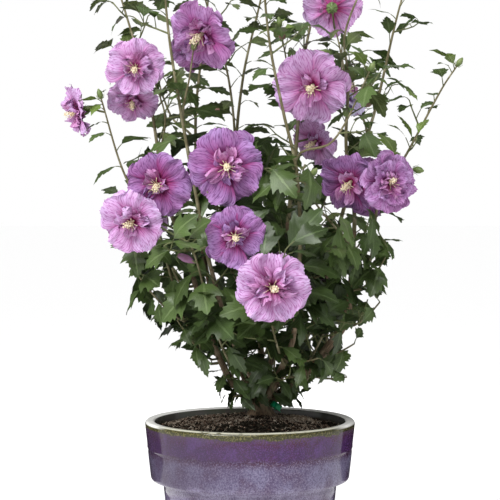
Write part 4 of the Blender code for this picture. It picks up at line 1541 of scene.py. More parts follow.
    def _grow_twig(self, spray: Spray, root: Vector, ahead: Vector, turn: float) -> bool:
        """Grow a side twig with its leaves, if there is room for it and for a leaf at its tip.

        Args:
            spray: the spray that it belongs to.
            root: the node that it springs from.
            ahead: the shoot's heading there.
            turn: the twig's turn about the shoot.

        Returns:
            Whether the twig grew.
        """
        side = Quaternion(ahead, turn) @ perpendicular(ahead)
        heading = (side + ahead * self.luck.uniform(0.5, 1.0)).normalized()
        end = root + heading * self.luck.uniform(*spray.habit.twig_lengths)
        if not self.has_room(spray, (root.lerp(end, 0.6), end)):
            return False
        arrival = (heading + UP * 0.5).normalized()
        path = curved([root, end], heading, arrival, 0.012, 0.003)
        if not self._try_leaf(spray, end, arrival, turn, False):
            return False
        self.twigs.append(Stem(path, 1.35 * MM, 0.8 * MM, 5))
        for share in spray.habit.twig_nodes:
            turn += GOLDEN_ANGLE
            node, along = path.at(share)
            self._try_leaf(spray, node, along, turn, False)
        return True

    def _try_leaf(self, spray: Spray, root: Vector, ahead: Vector, turn: float, young: bool) -> bool:
        """Grow a leaf at a node, turned and shortened step by step until it has room.

        Args:
            spray: the spray that it belongs to.
            root: the node.
            ahead: the shoot's heading there.
            turn: the leaf's turn about the shoot.
            young: whether it is one of a cane's newest leaves.

        Returns:
            Whether a leaf grew.
        """
        luck, habit = self.luck, spray.habit
        for attempt in range(self.leaf_tries):
            side = Quaternion(ahead, turn + attempt * math.radians(40)) @ perpendicular(ahead)
            heading = side + ahead * luck.uniform(0.2, 0.5)
            heading.z -= luck.uniform(*habit.droops)
            heading.normalize()
            length = luck.uniform(*habit.leaf_lengths) * (1 - 0.04 * attempt) * (0.78 if young else 1.0)
            arch = luck.uniform(*habit.arches)
            middle = root + heading * length * 0.58 + UP * length * 0.05
            tip = root + heading * length - UP * arch * length * 0.5
            across = UP.cross(heading) * length * 0.2
            foot = root + heading * length * 0.22 + UP * length * 0.1
            if self._hides_bloom((foot, foot.lerp(tip, 0.25), middle + across, middle - across)):
                continue
            if not self.has_room(spray, (middle, tip)) or self._crowds(middle):
                continue
            cut = LeafCut.YOUNG if young else LeafCut.LOBED if length > self.lobed_from else LeafCut.TOOTHED
            tone = Tone.FRESH if young or self._is_new_growth(root) else spray.tone
            tilt = luck.uniform(-0.5, 0.5)
            stalk = luck.uniform(0.16, 0.28)
            spot = LeafSpot(root, heading, length, arch, tilt, cut, tone, stalk, habit.facing)
            self.leaves.append(spot)
            return True
        return False

    def _is_new_growth(self, root: Vector) -> bool:
        """Tell whether a node is in one of the bright green tufts of new growth."""
        return root.y < 0.06 and any(beside(root, spot) < self.tuft_radius for spot in FRESH_SPOTS)

    def _stand_bud(self, spec: BudSpot) -> None:
        """Stand a bud on a stalk from the nearest shoot.

        Args:
            spec: the bud.
        """
        place = millimetres(spec.place)
        spot = self.nearest_spot(place - UP * 0.012)
        rise = (place - spot).normalized()
        heading = Vector((0.8, -0.3, -0.35)).normalized() if spec.kind is BudKind.SPENT else rise
        path = curved([spot, place], rise, heading, 0.008, 0.003)
        self.twigs.append(Stem(path, 1.1 * MM, 0.9 * MM, 5))
        self.buds.append((place - heading * 2 * MM, heading, spec.kind, spec.length * MM))

    def hang_blooms(self) -> None:
        """Draw the stalk of each bloom, from the nearest shoot to its calyx."""
        for spec in BLOOMS:
            facing = Vector(spec.facing).normalized()
            calyx = millimetres(spec.place) - facing * spec.width / 2 * MM * 0.48
            spot = self.nearest_spot(calyx - UP * 0.012)
            path = curved([spot, calyx], (calyx - spot).normalized(), facing, 0.008, 0.003)
            self.twigs.append(Stem(path, 1.4 * MM, 1.3 * MM, 6))


# -------- the sub-assemblies


@dataclass
class GlazedPot:
    """The pot: a tapering body, a broad band with a soft ridge round it, and a rounded lip."""

    height: float
    rim_radius: float
    foot_radius: float = 0.1
    foot_round: float = 0.004
    neck_radius: float = 0.1165
    neck_height: float = 0.16
    band_height: float = 0.079
    band_foot_radius: float = 0.1325
    groove_height: float = 0.201
    wall: float = 0.0135
    lip_round: float = 0.0044
    floor: float = 0.018
    floor_radius: float = 0.088
    sides: int = 144
    ridge: tuple[Span, ...] = (
        (-14.0, 0.0), (-6.0, 0.0), (-1.8, -0.6), (-0.6, 0.0), (0.6, 0.35), (2.4, 0.25), (5.0, 0.0)
    )

    def outline(self) -> list[Span]:
        """Draw the outline from the middle of the underside, over the lip, to the inner floor.

        Returns:
            (radius, height) of each of its points.
        """
        band_foot = self.height - self.band_height
        lean = (self.rim_radius - self.band_foot_radius) / self.band_height
        lip = self.height - self.lip_round
        flare = self.neck_radius - self.foot_radius

        def band(height: float) -> float:
            """Return the band's radius at a height."""
            return self.band_foot_radius + lean * (height - band_foot)

        points = [(0.0, 0.0), (self.foot_radius - 6 * MM, 0.0)]
        points += arc((self.foot_radius - self.foot_round, self.foot_round), self.foot_round, -90, -5, 5)
        points += [(self.foot_radius + flare * step / 8, self.neck_height * step / 8) for step in range(1, 9)]
        points += arc((self.neck_radius + 6.2 * MM, band_foot - 6.5 * MM), 6.0 * MM, 175, 95, 6)
        points += arc((band(band_foot) - 5.5 * MM, band_foot + 5.5 * MM), 5.5 * MM, -85, 0, 7)
        for rise, swell in self.ridge:
            level = self.groove_height + rise * MM
            points.append((band(level) + swell * MM, level))
        points += arc((self.rim_radius - self.lip_round, lip), self.lip_round, 0, 90, 7)
        points += arc((self.rim_radius - self.wall + self.lip_round, lip), self.lip_round, 90, 180, 7)
        return [*points, (self.floor_radius, self.floor), (0.0, self.floor)]

    def build(self) -> Object:
        """Turn the pot and dress it, with the inner glaze on the faces that look in.

        Returns:
            The pot.
        """
        piece = lathe("glazed_pot", self.outline(), self.sides)
        wear(piece.data, Glaze(self.height, self.band_height), InnerGlaze())
        for face in piece.data.polygons:
            inward = face.normal.dot(Vector((face.center.x, face.center.y, 0.0)).normalized()) < -0.75
            on_floor = face.normal.z > 0.9 and face.center.z < self.height / 2
            face.material_index = int(inward or on_floor)
        return piece


@dataclass
class SoilBed:
    """The soil in the pot: a crumbly mounded top, with chips of bark and dry fibres on it."""

    edge_radius: float
    top_height: float
    luck: random.Random
    edge_height: float = 0.2265
    depth: float = 0.012
    rings: int = 46
    sides: int = 150
    top_radius: float = 0.046
    shoulder_radius: float = 0.09
    shoulder_height: float = 0.2325
    chips: int = 380
    fibres: int = 2700
    clump: tuple[float, float, float, float] = (0.068, 0.004, 0.016, 0.0045)
    mound: tuple[float, float, float, float] = (0.016, 0.01, 0.03, 0.0045)
    heaps: tuple[Place, ...] = (
        (0.068, 0.002, 0.01), (0.067, -0.003, 0.008), (-0.014, -0.012, 0.016),
        (-0.08, 0.01, 0.026), (0.04, -0.006, 0.016), (-0.07, -0.045, 0.03),
        (-0.03, 0.06, 0.045), (0.06, 0.06, 0.04), (0.08, -0.04, 0.03),
    )
    finish: SoilFinish = SoilFinish("moist_soil", (0.005, 0.004, 0.003), (0.044, 0.038, 0.029))
    bit_finishes: tuple[SoilFinish, ...] = (
        SoilFinish("bark_chip", (0.012, 0.008, 0.006), (0.115, 0.066, 0.042)),
        SoilFinish("dry_chip", (0.085, 0.055, 0.04), (0.42, 0.315, 0.24)),
        SoilFinish("dry_fibre", (0.25, 0.19, 0.14), (0.86, 0.76, 0.62)),
    )

    def level(self, x: float, y: float) -> float:
        """Return the soil's height at a place, with its lumps and crumbs.

        Args:
            x: the place, to the right.
            y: the place, to the back.

        Returns:
            The height.
        """
        radius = math.hypot(x, y)
        table = (
            (0.0, self.top_height), (self.top_radius, self.top_height),
            (self.shoulder_radius, self.shoulder_height), (self.edge_radius, self.edge_height),
        )
        lumps = noise.fractal(Vector((x, y, 0.3)) * 55.0, 1.0, 2.0, 3) * 2.2 * MM
        crumbs = noise.fractal(Vector((x, y, 0.7)) * 230.0, 1.0, 2.0, 3) * 1.3 * MM
        heap = sum(
            rise * math.exp(-((x - east) ** 2 + (y - north) ** 2) / spread**2)
            for east, north, spread, rise in (self.clump, self.mound)
        )
        fade = min(1.0, (self.edge_radius - radius) / 0.006 + 0.3)
        return read_off(table, radius) - 1.0 * MM + (lumps + crumbs + heap) * fade

    def build(self) -> tuple[Object, Object]:
        """Turn the bed, roughen it and strew it.

        Returns:
            The bed, and the bits that lie on it.
        """
        outline = [(0.0, self.edge_height - self.depth), (self.edge_radius, self.edge_height - self.depth)]
        radii = (self.edge_radius * (1 - ring / self.rings) for ring in range(self.rings + 1))
        outline += [(radius, self.edge_height) for radius in radii]
        bed = lathe("soil_bed", outline, self.sides)
        for corner in bed.data.vertices:
            if corner.co.z > self.edge_height - 1 * MM:
                corner.co.z = self.level(corner.co.x, corner.co.y)
        wear(bed.data, self.finish)
        return bed, self._strew()

    def _spot(self) -> Vector:
        """Return a random place on the soil.

        Returns:
            The place.
        """
        radius = (self.edge_radius - 3 * MM) * math.sqrt(self.luck.random())
        turn = self.luck.uniform(0.0, math.tau)
        x, y = radius * math.cos(turn), radius * math.sin(turn)
        return Vector((x, y, self.level(x, y)))

    def _lay_fibre(self, bits: Gathering, number: int) -> None:
        """Lay one curly dry fibre, most of them in heaps.

        Args:
            bits: where it goes.
            number: its number, which picks its heap.
        """
        x, y, spread = self.heaps[number % len(self.heaps)]
        start = Vector((x + self.luck.gauss(0.0, spread), y + self.luck.gauss(0.0, spread * 0.8), 0.0))
        turn = self.luck.uniform(0, math.tau)
        points = []
        for step in range(self.luck.randint(4, 7)):
            if math.hypot(start.x, start.y) > self.edge_radius - 2 * MM:
                break
            rise = self.luck.uniform(0.3, 2.4) * MM if step else 0.0
            points.append(Vector((start.x, start.y, self.level(start.x, start.y) + rise)))
            turn += self.luck.uniform(-1.1, 1.1)
            start = start + level_heading(turn) * self.luck.uniform(0.6, 1.6) * MM
        if len(points) > 2:
            slot = 2 if number % len(self.heaps) < 2 or number % 5 == 0 else number // 8 % 3
            Stem(Path(points), 0.21 * MM, 0.13 * MM, 4).add_to(bits, slot)

    @staticmethod
    def _chip() -> Pattern:
        """Model a chip of bark: a block with its edges cut and one end pinched.

        Returns:
            The pattern.
        """
        block = added("chip_pattern", bpy.ops.mesh.primitive_cube_add, size=1.0)
        with editing(block):
            bpy.ops.mesh.bevel(offset=0.16, segments=1)
            pick(block, lambda corner: corner.co.x > 0.2)
            bpy.ops.transform.resize(value=(1.0, 0.55, 0.5), center_override=(0.5, 0.1, 0.0))
        return Pattern.taken_from(block)

    def _strew(self) -> Object:
        """Strew chips and fibres, in three colours.

        Returns:
            The bits, joined.
        """
        chip = self._chip()
        bits = Gathering()
        chance = self.luck.uniform
        for number in range(self.chips):
            size = Vector((chance(1.5, 6.0), chance(1.2, 3.0), chance(0.6, 1.6))) * MM
            spin = Quaternion(UP, chance(0, math.tau)) @ Quaternion((1, 0, 0), chance(-0.6, 0.6))
            turn = np.array(spin.to_matrix() @ Matrix.Diagonal(size))
            place = self._spot() + UP * 0.3 * MM
            bits.copy(chip, chip.corners @ turn.T + np.array(place), number % 2)
        for number in range(self.fibres):
            self._lay_fibre(bits, number)
        return bits.piece("soil_bits", *self.bit_finishes)


@dataclass
class Limbs:
    """The trunk and boughs, in one skin of ridged bark."""

    soil_height: float
    paths: dict[str, Path]
    flare: tuple[Span, ...] = ((0.0, 1.75), (0.12, 1.4), (0.35, 1.12), (0.7, 1.0), (1.0, 0.72))
    collar: tuple[Span, ...] = ((0.0, 1.32), (0.1, 1.16), (0.22, 1.0), (1.0, 1.0))
    finish: BarkFinish = BarkFinish(
        "tan_bark", (0.23, 0.16, 0.1), (0.42, 0.33, 0.22), (0.085, 0.058, 0.036)
    )

    @staticmethod
    def routes() -> dict[str, Path]:
        """Draw the boughs, with the trunk's fork at the foot of the first ones.

        Returns:
            Each one's path, by name.
        """
        paths: dict[str, Path] = {}
        for spec in BOUGHS:
            way = [millimetres(point) for point in spec.way]
            if spec.springs_from == "trunk":
                heading = (way[0] - FORK).normalized()
                start = FORK + heading * STUB_LENGTH
            else:
                start, heading = paths[spec.springs_from].at(TIP)
            paths[spec.name] = curved([start, *way], heading, step=0.005)
        return paths

    def build(self) -> Object:
        """Sweep the stump and every bough, and dress them.

        Returns:
            The bark piece.
        """
        wood = Gathering()
        foot = Vector((FORK.x, FORK.y, self.soil_height - 3 * MM))
        top = Vector((FORK.x, FORK.y, FORK.z + 0.019))
        stump = Path([foot.lerp(top, step / 14) for step in range(15)])
        Stem(stump, 0.0145, 0.0125, 40, 0.2, self.flare).add_to(wood)
        for spec in BOUGHS:
            path, swell = self.paths[spec.name], Stem.swell
            if spec.springs_from == "trunk":
                start = path.points[0]
                stub = [FORK.lerp(start, share / 6) for share in range(6)]
                path = Path([*stub, *path.points])
                swell = self.collar
            Stem(path, spec.foot_radius * MM, spec.tip_radius * MM, 22, 0.15, swell).add_to(wood)
        return wood.piece("bark", self.finish)


@dataclass
class Greenery:
    """The canes, twigs and leaves of the crown."""

    crown: Crown
    cane_skin: BarkFinish = BarkFinish(
        "cane_bark", (0.19, 0.175, 0.085), (0.33, 0.3, 0.19), (0.11, 0.085, 0.045), 0.6
    )
    twig_skin: BarkFinish = BarkFinish(
        "twig_skin", (0.12, 0.15, 0.05), (0.22, 0.23, 0.11), (0.08, 0.08, 0.03), 0.5
    )
    leaf_finishes: tuple[LeafFinish, ...] = (
        # painted shade: a darker copy of the summer green
        LeafFinish("leaf_painted_shade", (0.052, 0.088, 0.023), (0.105, 0.158, 0.06)),
        LeafFinish("leaf_summer", (0.086, 0.14, 0.036), (0.165, 0.23, 0.09)),
        LeafFinish("leaf_olive", (0.118, 0.16, 0.048), (0.195, 0.245, 0.098)),
        LeafFinish("leaf_fresh", (0.18, 0.27, 0.055), (0.26, 0.35, 0.11)),
    )

    def build_stems(self) -> tuple[Object, Object]:
        """Sweep the canes, and the twigs, stalks and leaf stalks.

        Returns:
            The canes' piece and the twigs' piece.
        """
        canes, twigs = Gathering(), Gathering()
        for spray in self.crown.sprays:
            for shoot in spray.shoots:
                shoot.sides = 8
                shoot.ridge = 0.06
                shoot.add_to(canes)
        for twig in self.crown.twigs:
            twig.add_to(twigs)
        for spot in self.crown.leaves:
            base, _ = self._blade_foot(spot)
            bend = spot.root.lerp(base, 0.5) + UP * spot.length * 0.015
            Stem(Path([spot.root, bend, base]), 0.75 * MM, 0.55 * MM, 4).add_to(twigs)
        return canes.piece("canes", self.cane_skin), twigs.piece("twigs", self.twig_skin)

    @staticmethod
    def _blade_foot(spot: LeafSpot) -> tuple[Vector, float]:
        """Return where a leaf's blade starts, at the end of its stalk, and the blade's length."""
        reach = spot.length * spot.stalk_share
        return spot.root + spot.heading * reach + UP * reach * 0.45, spot.length - reach

    def build_leaves(self) -> list[Object]:
        """Copy the modelled leaves to their places, bent each in its own way.

        Returns:
            One piece for each green.
        """
        patterns = {cut: model_leaf(cut) for cut in LeafCut}
        luck = random.Random(SEED + 1)
        made = []
        for tone, finish in zip(Tone, self.leaf_finishes):
            gathering = Gathering()
            for spot in self.crown.leaves:
                if spot.tone is tone:
                    self._lay(gathering, patterns[spot.cut], spot, luck)
            made.append(gathering.piece(finish.name, finish))
        return made

    def _lay(self, gathering: Gathering, pattern: Pattern, spot: LeafSpot, luck: random.Random) -> None:
        """Lay one leaf: arched along its length, folded at its midrib, rippled at its edge.

        Args:
            gathering: where it goes.
            pattern: the flat leaf.
            spot: where and how it lies.
            luck: the seeded chance.
        """
        base, length = self._blade_foot(spot)
        outward = Vector((spot.root.x - read_off(CROWN_AXIS, spot.root.z), spot.root.y, 0.0)).normalized()
        side = (UP + outward * spot.facing).cross(spot.heading)
        side = side.normalized() if side.length > 0.1 else perpendicular(spot.heading)
        side = Quaternion(spot.heading, spot.tilt) @ side
        upward = spot.heading.cross(side)
        x, y = pattern.corners[:, 0], pattern.corners[:, 1]
        fold, ripple, phase = luck.uniform(0.08, 0.3), luck.uniform(0.02, 0.06), luck.uniform(0.0, math.tau)
        twist = luck.uniform(-0.5, 0.5)
        lift = fold * np.abs(y) - spot.arch * x * x - 0.62 * y * y
        wave = ripple * np.sin(9.0 * x + phase + 3.0 * y) * np.minimum(1.0, np.abs(y) * 5.0)
        lift = lift + wave + twist * x * y
        bend = 1.0 - 0.35 * spot.arch * x
        corners = (
            np.array(base)
            + np.outer(x * bend * length, spot.heading)
            + np.outer(y * length, side)
            + np.outer(lift * length, upward)
        )
        gathering.copy(pattern, corners)


@dataclass
class Blossom:
    """The blooms: broad ruffled petals, a tuft of twisted ones, a column with anthers, a calyx."""

    luck: random.Random
    petals_in_ring: int = 5
    anthers: int = 26
    threads: int = 9
    sepals: tuple[tuple[int, float, float, float, float], ...] = (
        (5, 0.44, 0.17, 1.0, 1.0), (8, 0.34, 0.03, 1.5, 0.45)
    )
    petal_finishes: tuple[PetalFinish, ...] = (
        # Pale, mauve and purple are lighter and darker copies of one colouring, and lavender is a lightened
        # pale blue one: partly the petals' own colour and partly painted light.
        PetalFinish(
            "petal_pale", (0.36, 0.018, 0.12), (0.54, 0.18, 0.42), (0.58, 0.34, 0.61), (0.67, 0.48, 0.76)
        ),
        PetalFinish(
            "petal_mauve", (0.28, 0.01, 0.08), (0.43, 0.085, 0.3), (0.44, 0.2, 0.46), (0.54, 0.33, 0.62),
            (0.18, 0.03, 0.17),
        ),
        PetalFinish(
            "petal_purple", (0.22, 0.005, 0.05), (0.33, 0.05, 0.2), (0.33, 0.15, 0.38), (0.41, 0.25, 0.52),
            (0.12, 0.02, 0.13),
        ),
        PetalFinish(
            "petal_lavender", (0.48, 0.2, 0.5), (0.62, 0.48, 0.76), (0.68, 0.62, 0.88), (0.74, 0.72, 0.94)
        ),
        # The heart colouring of the petals within is brighter and pinker than the outer ones: partly their
        # own colour and partly painted light, set against the shade among them and for light shining through
        # them.
        PetalFinish(
            "petal_heart", (0.3, 0.008, 0.08), (0.48, 0.09, 0.28), (0.56, 0.24, 0.49), (0.66, 0.39, 0.67),
            (0.24, 0.03, 0.17), (0.8, 0.58, 0.8),
        ),
    )
    column_finish: MottledFinish = MottledFinish(
        "cream_column", (0.8, 0.66, 0.4), (0.88, 0.8, 0.62), 0.6, 300.0
    )
    calyx_finish: MottledFinish = MottledFinish("calyx_green", (0.11, 0.18, 0.05), (0.17, 0.24, 0.08))

    def __post_init__(self) -> None:
        """Model the grids of the petals and an anther, and start with no bloom."""
        self.broad, self.middle, self.narrow = (self._petal(*faces) for faces in ((34, 11), (16, 8), (6, 7)))
        ball = added("anther_pattern", bpy.ops.mesh.primitive_ico_sphere_add, subdivisions=1, radius=1.0)
        self.anther = Pattern.taken_from(ball)
        self.petals, self.columns, self.calyxes = Gathering(), Gathering(), Gathering()
        self.frame = Matrix()

    @staticmethod
    def _petal(across: int, along: int) -> Pattern:
        """Model a flat petal from a grid: X across from -1 to 1, and Y along from 0 to 1.

        Args:
            across: how many faces it has across.
            along: how many it has along.

        Returns:
            The pattern; its map runs with the grid.
        """
        grid = bpy.ops.mesh.primitive_grid_add
        piece = added("petal_pattern", grid, x_subdivisions=across, y_subdivisions=along, size=1.0)
        with editing(piece):
            bpy.ops.transform.translate(value=(0.0, 0.5, 0.0))
            bpy.ops.transform.resize(value=(2.0, 1.0, 1.0), center_override=(0.0, 0.0, 0.0))
        return Pattern.taken_from(piece)

    def build(self) -> list[Object]:
        """Build every bloom, each in a frame where it is a unit in radius and faces +Z.

        Returns:
            The petals, the columns and the calyxes.
        """
        for spec in BLOOMS:
            spin = Quaternion(UP, self.luck.uniform(0, math.tau))
            turn = UP.rotation_difference(Vector(spec.facing).normalized()) @ spin
            size = Matrix.Scale(spec.width / 2 * MM, 4)
            self.frame = Matrix.Translation(millimetres(spec.place)) @ turn.to_matrix().to_4x4() @ size
            rings, crumpled, tuft = spec.form.value
            for ring in range(rings):
                self._ring_of_petals(ring, spec.hue_and_light)
            self._crumpled_petals(crumpled, spec.hue_and_light)
            self._tuft(tuft)
            self._column()
            self._calyx()
        return [
            self.petals.piece("petals", *self.petal_finishes),
            self.columns.piece("columns", self.column_finish),
            self.calyxes.piece("calyxes", self.calyx_finish),
        ]

    def _put(
        self, gathering: Gathering, pattern: Pattern, corners: Array, around: float, slot: int = 0
    ) -> None:
        """Add a pattern's copy, shaped in the bloom's own frame and then turned about its axis."""
        turn = np.array(self.frame @ Matrix.Rotation(around, 4, "Z"))
        gathering.copy(pattern, corners @ turn[:3, :3].T + turn[:3, 3], slot)

    def _ruffled(self, pattern: Pattern, reach: float, width: float, rise: float, ruffle: float) -> Array:
        """Shape a petal: funnelled at its foot, spread, scalloped and ruffled towards its edge.

        Args:
            pattern: the flat petal.
            reach: its length, where the bloom's radius is 1.
            width: half its width as a share of its length.
            rise: how far it is turned up, in radians.
            ruffle: how deep its ruffles are.

        Returns:
            Its corners, in the bloom's frame, along +X.
        """
        u, v = pattern.corners[:, 0], pattern.corners[:, 1]
        phases = [self.luck.uniform(0, math.tau) for _ in range(6)]
        scallop = 0.045 * np.sin(3.6 * u + phases[0]) + 0.02 * np.sin(9.5 * u + phases[1])
        scallop = scallop + 0.018 * np.power(v, 4) * np.sin(33.0 * u + phases[5])
        out = reach * (0.05 + 0.95 * v * (1.0 - 0.13 * u * u * v * v + v * scallop))
        aside = u * reach * width * np.sin(np.pi * (0.04 + 0.7 * np.power(v, 1.2)))
        lift = -0.11 + 0.52 * np.power(v, 0.55) - 0.21 * v * v - 0.08 * u * u * v + 0.1 * u * v
        lift = lift + ruffle * v * v * np.sin(2.8 * u + phases[2] + 1.4 * v)
        lift = lift + 0.75 * ruffle * np.power(v, 1.6) * np.sin(6.4 * u + phases[3] - 2.5 * v)
        lift = lift + 0.42 * ruffle * v * np.sin(13.0 * u + phases[4] + 1.5 * np.sin(3.0 * v + phases[5]))
        lift = lift + 0.24 * ruffle * np.power(v, 5) * np.sin(31.0 * u + phases[1])
        lift = reach * lift
        turned_out = out * math.cos(rise) - lift * math.sin(rise)
        turned_lift = out * math.sin(rise) + lift * math.cos(rise)
        return np.column_stack((turned_out, aside, turned_lift - 0.25))

    def _ring_of_petals(self, ring: int, hue_and_light: PetalHueAndLight) -> None:
        """Add a ring of broad petals that overlap one way round.

        Args:
            ring: 0 for the outermost ring.
            hue_and_light: the petals' colouring.
        """
        for petal in range(self.petals_in_ring):
            around = math.tau * (petal + 0.5 * ring) / self.petals_in_ring + self.luck.uniform(-0.12, 0.12)
            reach = (1.0 - 0.18 * ring) * self.luck.uniform(0.93, 1.06)
            corners = self._ruffled(self.broad, reach, self.luck.uniform(0.64, 0.76), 0.32 * ring, 0.085)
            self._put(self.petals, self.broad, corners, around, hue_and_light.value)

    def _crumpled_petals(self, count: int, hue_and_light: PetalHueAndLight) -> None:
        """Add the shorter crumpled petals that stand within the broad ones.

        Args:
            count: how many there are.
            hue_and_light: the petals' colouring.
        """
        for number in range(count):
            around = math.tau * number / count + self.luck.uniform(-0.3, 0.3)
            reach, width = self.luck.uniform(0.42, 0.76), self.luck.uniform(0.3, 0.54)
            rise = self.luck.uniform(0.15, 0.8)
            corners = self._ruffled(self.middle, reach, width, rise, 0.24)
            # painted light: two of three crumpled petals wear the brighter heart colouring
            slot = hue_and_light.value if number % 3 == 1 else len(PetalHueAndLight)
            self._put(self.petals, self.middle, corners, around, slot)

    def _tuft(self, count: int) -> None:
        """Add the narrow twisted petals that stand round the column.

        Args:
            count: how many there are.
        """
        u, v = self.narrow.corners[:, 0], self.narrow.corners[:, 1]
        for number in range(count):
            around = GOLDEN_ANGLE * number + self.luck.uniform(-0.3, 0.3)
            reach, width = self.luck.uniform(0.26, 0.48), self.luck.uniform(0.09, 0.19)
            rise = math.radians(self.luck.uniform(28, 70))
            curl, twist = self.luck.uniform(0.2, 1.4), self.luck.uniform(-1.2, 1.2)
            slope = rise - curl * v
            out = 0.05 + reach * v * np.cos(slope)
            lift = -0.2 + reach * v * np.sin(slope) + 0.35 * width * u * u
            lift = lift + 0.03 * v * np.sin(4.0 * u + number)
            spread = u * width * np.sin(np.pi * (0.1 + 0.72 * v))
            lean = twist * v
            aside, over = spread * np.cos(lean), spread * np.sin(lean)
            corners = np.column_stack((out - 0.7 * over, aside, lift + over))
            # painted light: the tuft wears the brighter heart colouring
            self._put(self.petals, self.narrow, corners, around, len(PetalHueAndLight))

    def _column(self) -> None:
        """Add the column of stamens, with its anthers and their threads."""
        lean = Vector((self.luck.uniform(-0.1, 0.1), self.luck.uniform(-0.1, 0.1), 0.0))
        points = (UP * -0.26, UP * 0.05 + lean * 0.4, UP * 0.4 + lean)
        rod = Path([self.frame @ point for point in points])
        scale = self.frame.to_scale().x
        Stem(rod, 0.055 * scale, 0.035 * scale, 8).add_to(self.columns)
        for number in range(self.anthers):
            spot, _ = rod.at(0.4 + 0.6 * number / self.anthers)
            out = level_heading(GOLDEN_ANGLE * number) + UP * 0.3
            aside = self.frame.to_3x3() @ out * self.luck.uniform(0.05, 0.1)
            size = scale * self.luck.uniform(0.022, 0.036)
            self.columns.copy(self.anther, self.anther.corners * size + np.array(spot + aside))
        for number in range(self.threads):
            out = level_heading(GOLDEN_ANGLE * number)
            reach = self.luck.uniform(0.14, 0.3)
            way = (UP * -0.15, out * reach * 0.5 + UP * 0.1, out * reach + UP * self.luck.uniform(0.12, 0.3))
            thread = Path([self.frame @ point for point in way])
            Stem(thread, 0.011 * scale, 0.008 * scale, 4).add_to(self.columns)

    def _calyx(self) -> None:
        """Add the calyx: five pointed sepals in a cup, and narrow bracts below them."""
        u, v = self.narrow.corners[:, 0], self.narrow.corners[:, 1]
        for count, length, width, splay, climb in self.sepals:
            for number in range(count):
                around = math.tau * number / count + self.luck.uniform(-0.08, 0.08)
                along = length * np.power(v, 0.8)
                aside = u * width * np.sin(np.pi * np.minimum(0.22 + 0.78 * v, 1.0))
                lift = -0.6 + along * climb - 0.02 * splay + 0.2 * np.abs(aside)
                corners = np.column_stack((along * 0.45 * splay, aside, lift))
                self._put(self.calyxes, self.narrow, corners, around)


@dataclass
class BudSet:
    """The closed, flushed and spent buds, with a star of bracts under each."""

    crown: Crown
    bracts: int = 7
    plumpness: tuple[float, ...] = (0.3, 0.27, 0.2)
    finishes: tuple[MottledFinish, ...] = (
        MottledFinish("bud_green", (0.12, 0.18, 0.048), (0.19, 0.24, 0.08)),
        MottledFinish("bud_flushed", (0.17, 0.11, 0.07), (0.27, 0.11, 0.12)),
        MottledFinish("bud_spent", (0.33, 0.15, 0.3), (0.26, 0.1, 0.2)),
    )

    def build(self) -> Object:
        """Copy the modelled bud to its places.

        Returns:
            The buds, joined.
        """
        bud = self._model()
        buds = Gathering()
        luck = random.Random(SEED + 2)
        for root, heading, kind, length in self.crown.buds:
            turn = UP.rotation_difference(heading) @ Quaternion(UP, luck.uniform(0, math.tau))
            plump = self.plumpness[kind.value] * length
            shape = np.array(turn.to_matrix() @ Matrix.Diagonal((plump, plump, length)))
            buds.copy(bud, bud.corners @ shape.T + np.array(root), kind.value)
            for number in range(self.bracts):
                out = turn @ level_heading(math.tau * number / self.bracts)
                knee = root + out * length * 0.26 + heading * length * 0.06
                end = root + out * length * 0.42 + heading * length * luck.uniform(0.28, 0.5)
                Stem(Path([root, knee, end]), 0.5 * MM, 0.15 * MM, 4).add_to(buds)
        return buds.piece("buds", *self.finishes)

    @staticmethod
    def _model() -> Pattern:
        """Model a bud a unit long: a ball drawn out to a point, with five soft furrows.

        Returns:
            The pattern.
        """
        ball = bpy.ops.mesh.primitive_uv_sphere_add
        piece = added("bud_pattern", ball, segments=10, ring_count=8, radius=1.0)
        with editing(piece):
            bpy.ops.transform.translate(value=(0.0, 0.0, 1.0))
            bpy.ops.transform.resize(value=(1.0, 1.0, 0.5), center_override=(0.0, 0.0, 0.0))
            for level, squeeze in ((0.55, 0.86), (0.75, 0.8)):
                pick(piece, lambda corner: corner.co.z > level)
                bpy.ops.transform.resize(value=(squeeze, squeeze, 1.0), center_override=(0.0, 0.0, 0.0))
            pick(piece, lambda corner: corner.index % 2 == 0 and 0.05 < corner.co.z < 0.95)
            bpy.ops.transform.resize(value=(0.88, 0.88, 1.0), center_override=(0.0, 0.0, 0.5))
        return Pattern.taken_from(piece)


@dataclass
class PlantTie:
    """The bright green plastic tape tied round the foot of the right bough."""

    radius: float = 0.0062
    width: float = 0.0072
    tail: float = 0.005
    tail_steps: tuple[Place, Place] = ((0.35, -0.55, -0.1), (0.75, -0.2, -0.55))
    thickness: float = 0.5 * MM
    finish: MottledFinish = MottledFinish("tie_green", (0.0, 0.33, 0.13), (0.005, 0.42, 0.19), 0.3)

    def build(self) -> Object:
        """Model the tape as a thin hoop, with its two ends pulled out to the front.

        Returns:
            The tape.
        """
        piece = added(
            "plant_tie", bpy.ops.mesh.primitive_cylinder_add,
            vertices=28, radius=self.radius, depth=self.width, end_fill_type="NOTHING",
            location=TIE_PLACE, rotation=(-0.25, 0.62, 0.0),
        )
        bpy.ops.object.transform_apply(location=True, rotation=True, scale=True)
        middle = sum((corner.co for corner in piece.data.vertices), Vector()) / len(piece.data.vertices)
        with editing(piece):
            pick(piece, lambda corner: corner.co.y < middle.y - 0.8 * self.radius)
            for step in self.tail_steps:
                move = {"value": Vector(step) * self.tail}
                bpy.ops.mesh.extrude_region_move(TRANSFORM_OT_translate=move)
        thickness = piece.modifiers.new("thickness", "SOLIDIFY")
        thickness.thickness = self.thickness
        bpy.ops.object.modifier_apply(modifier=thickness.name)
        wear(piece.data, self.finish)
        return piece


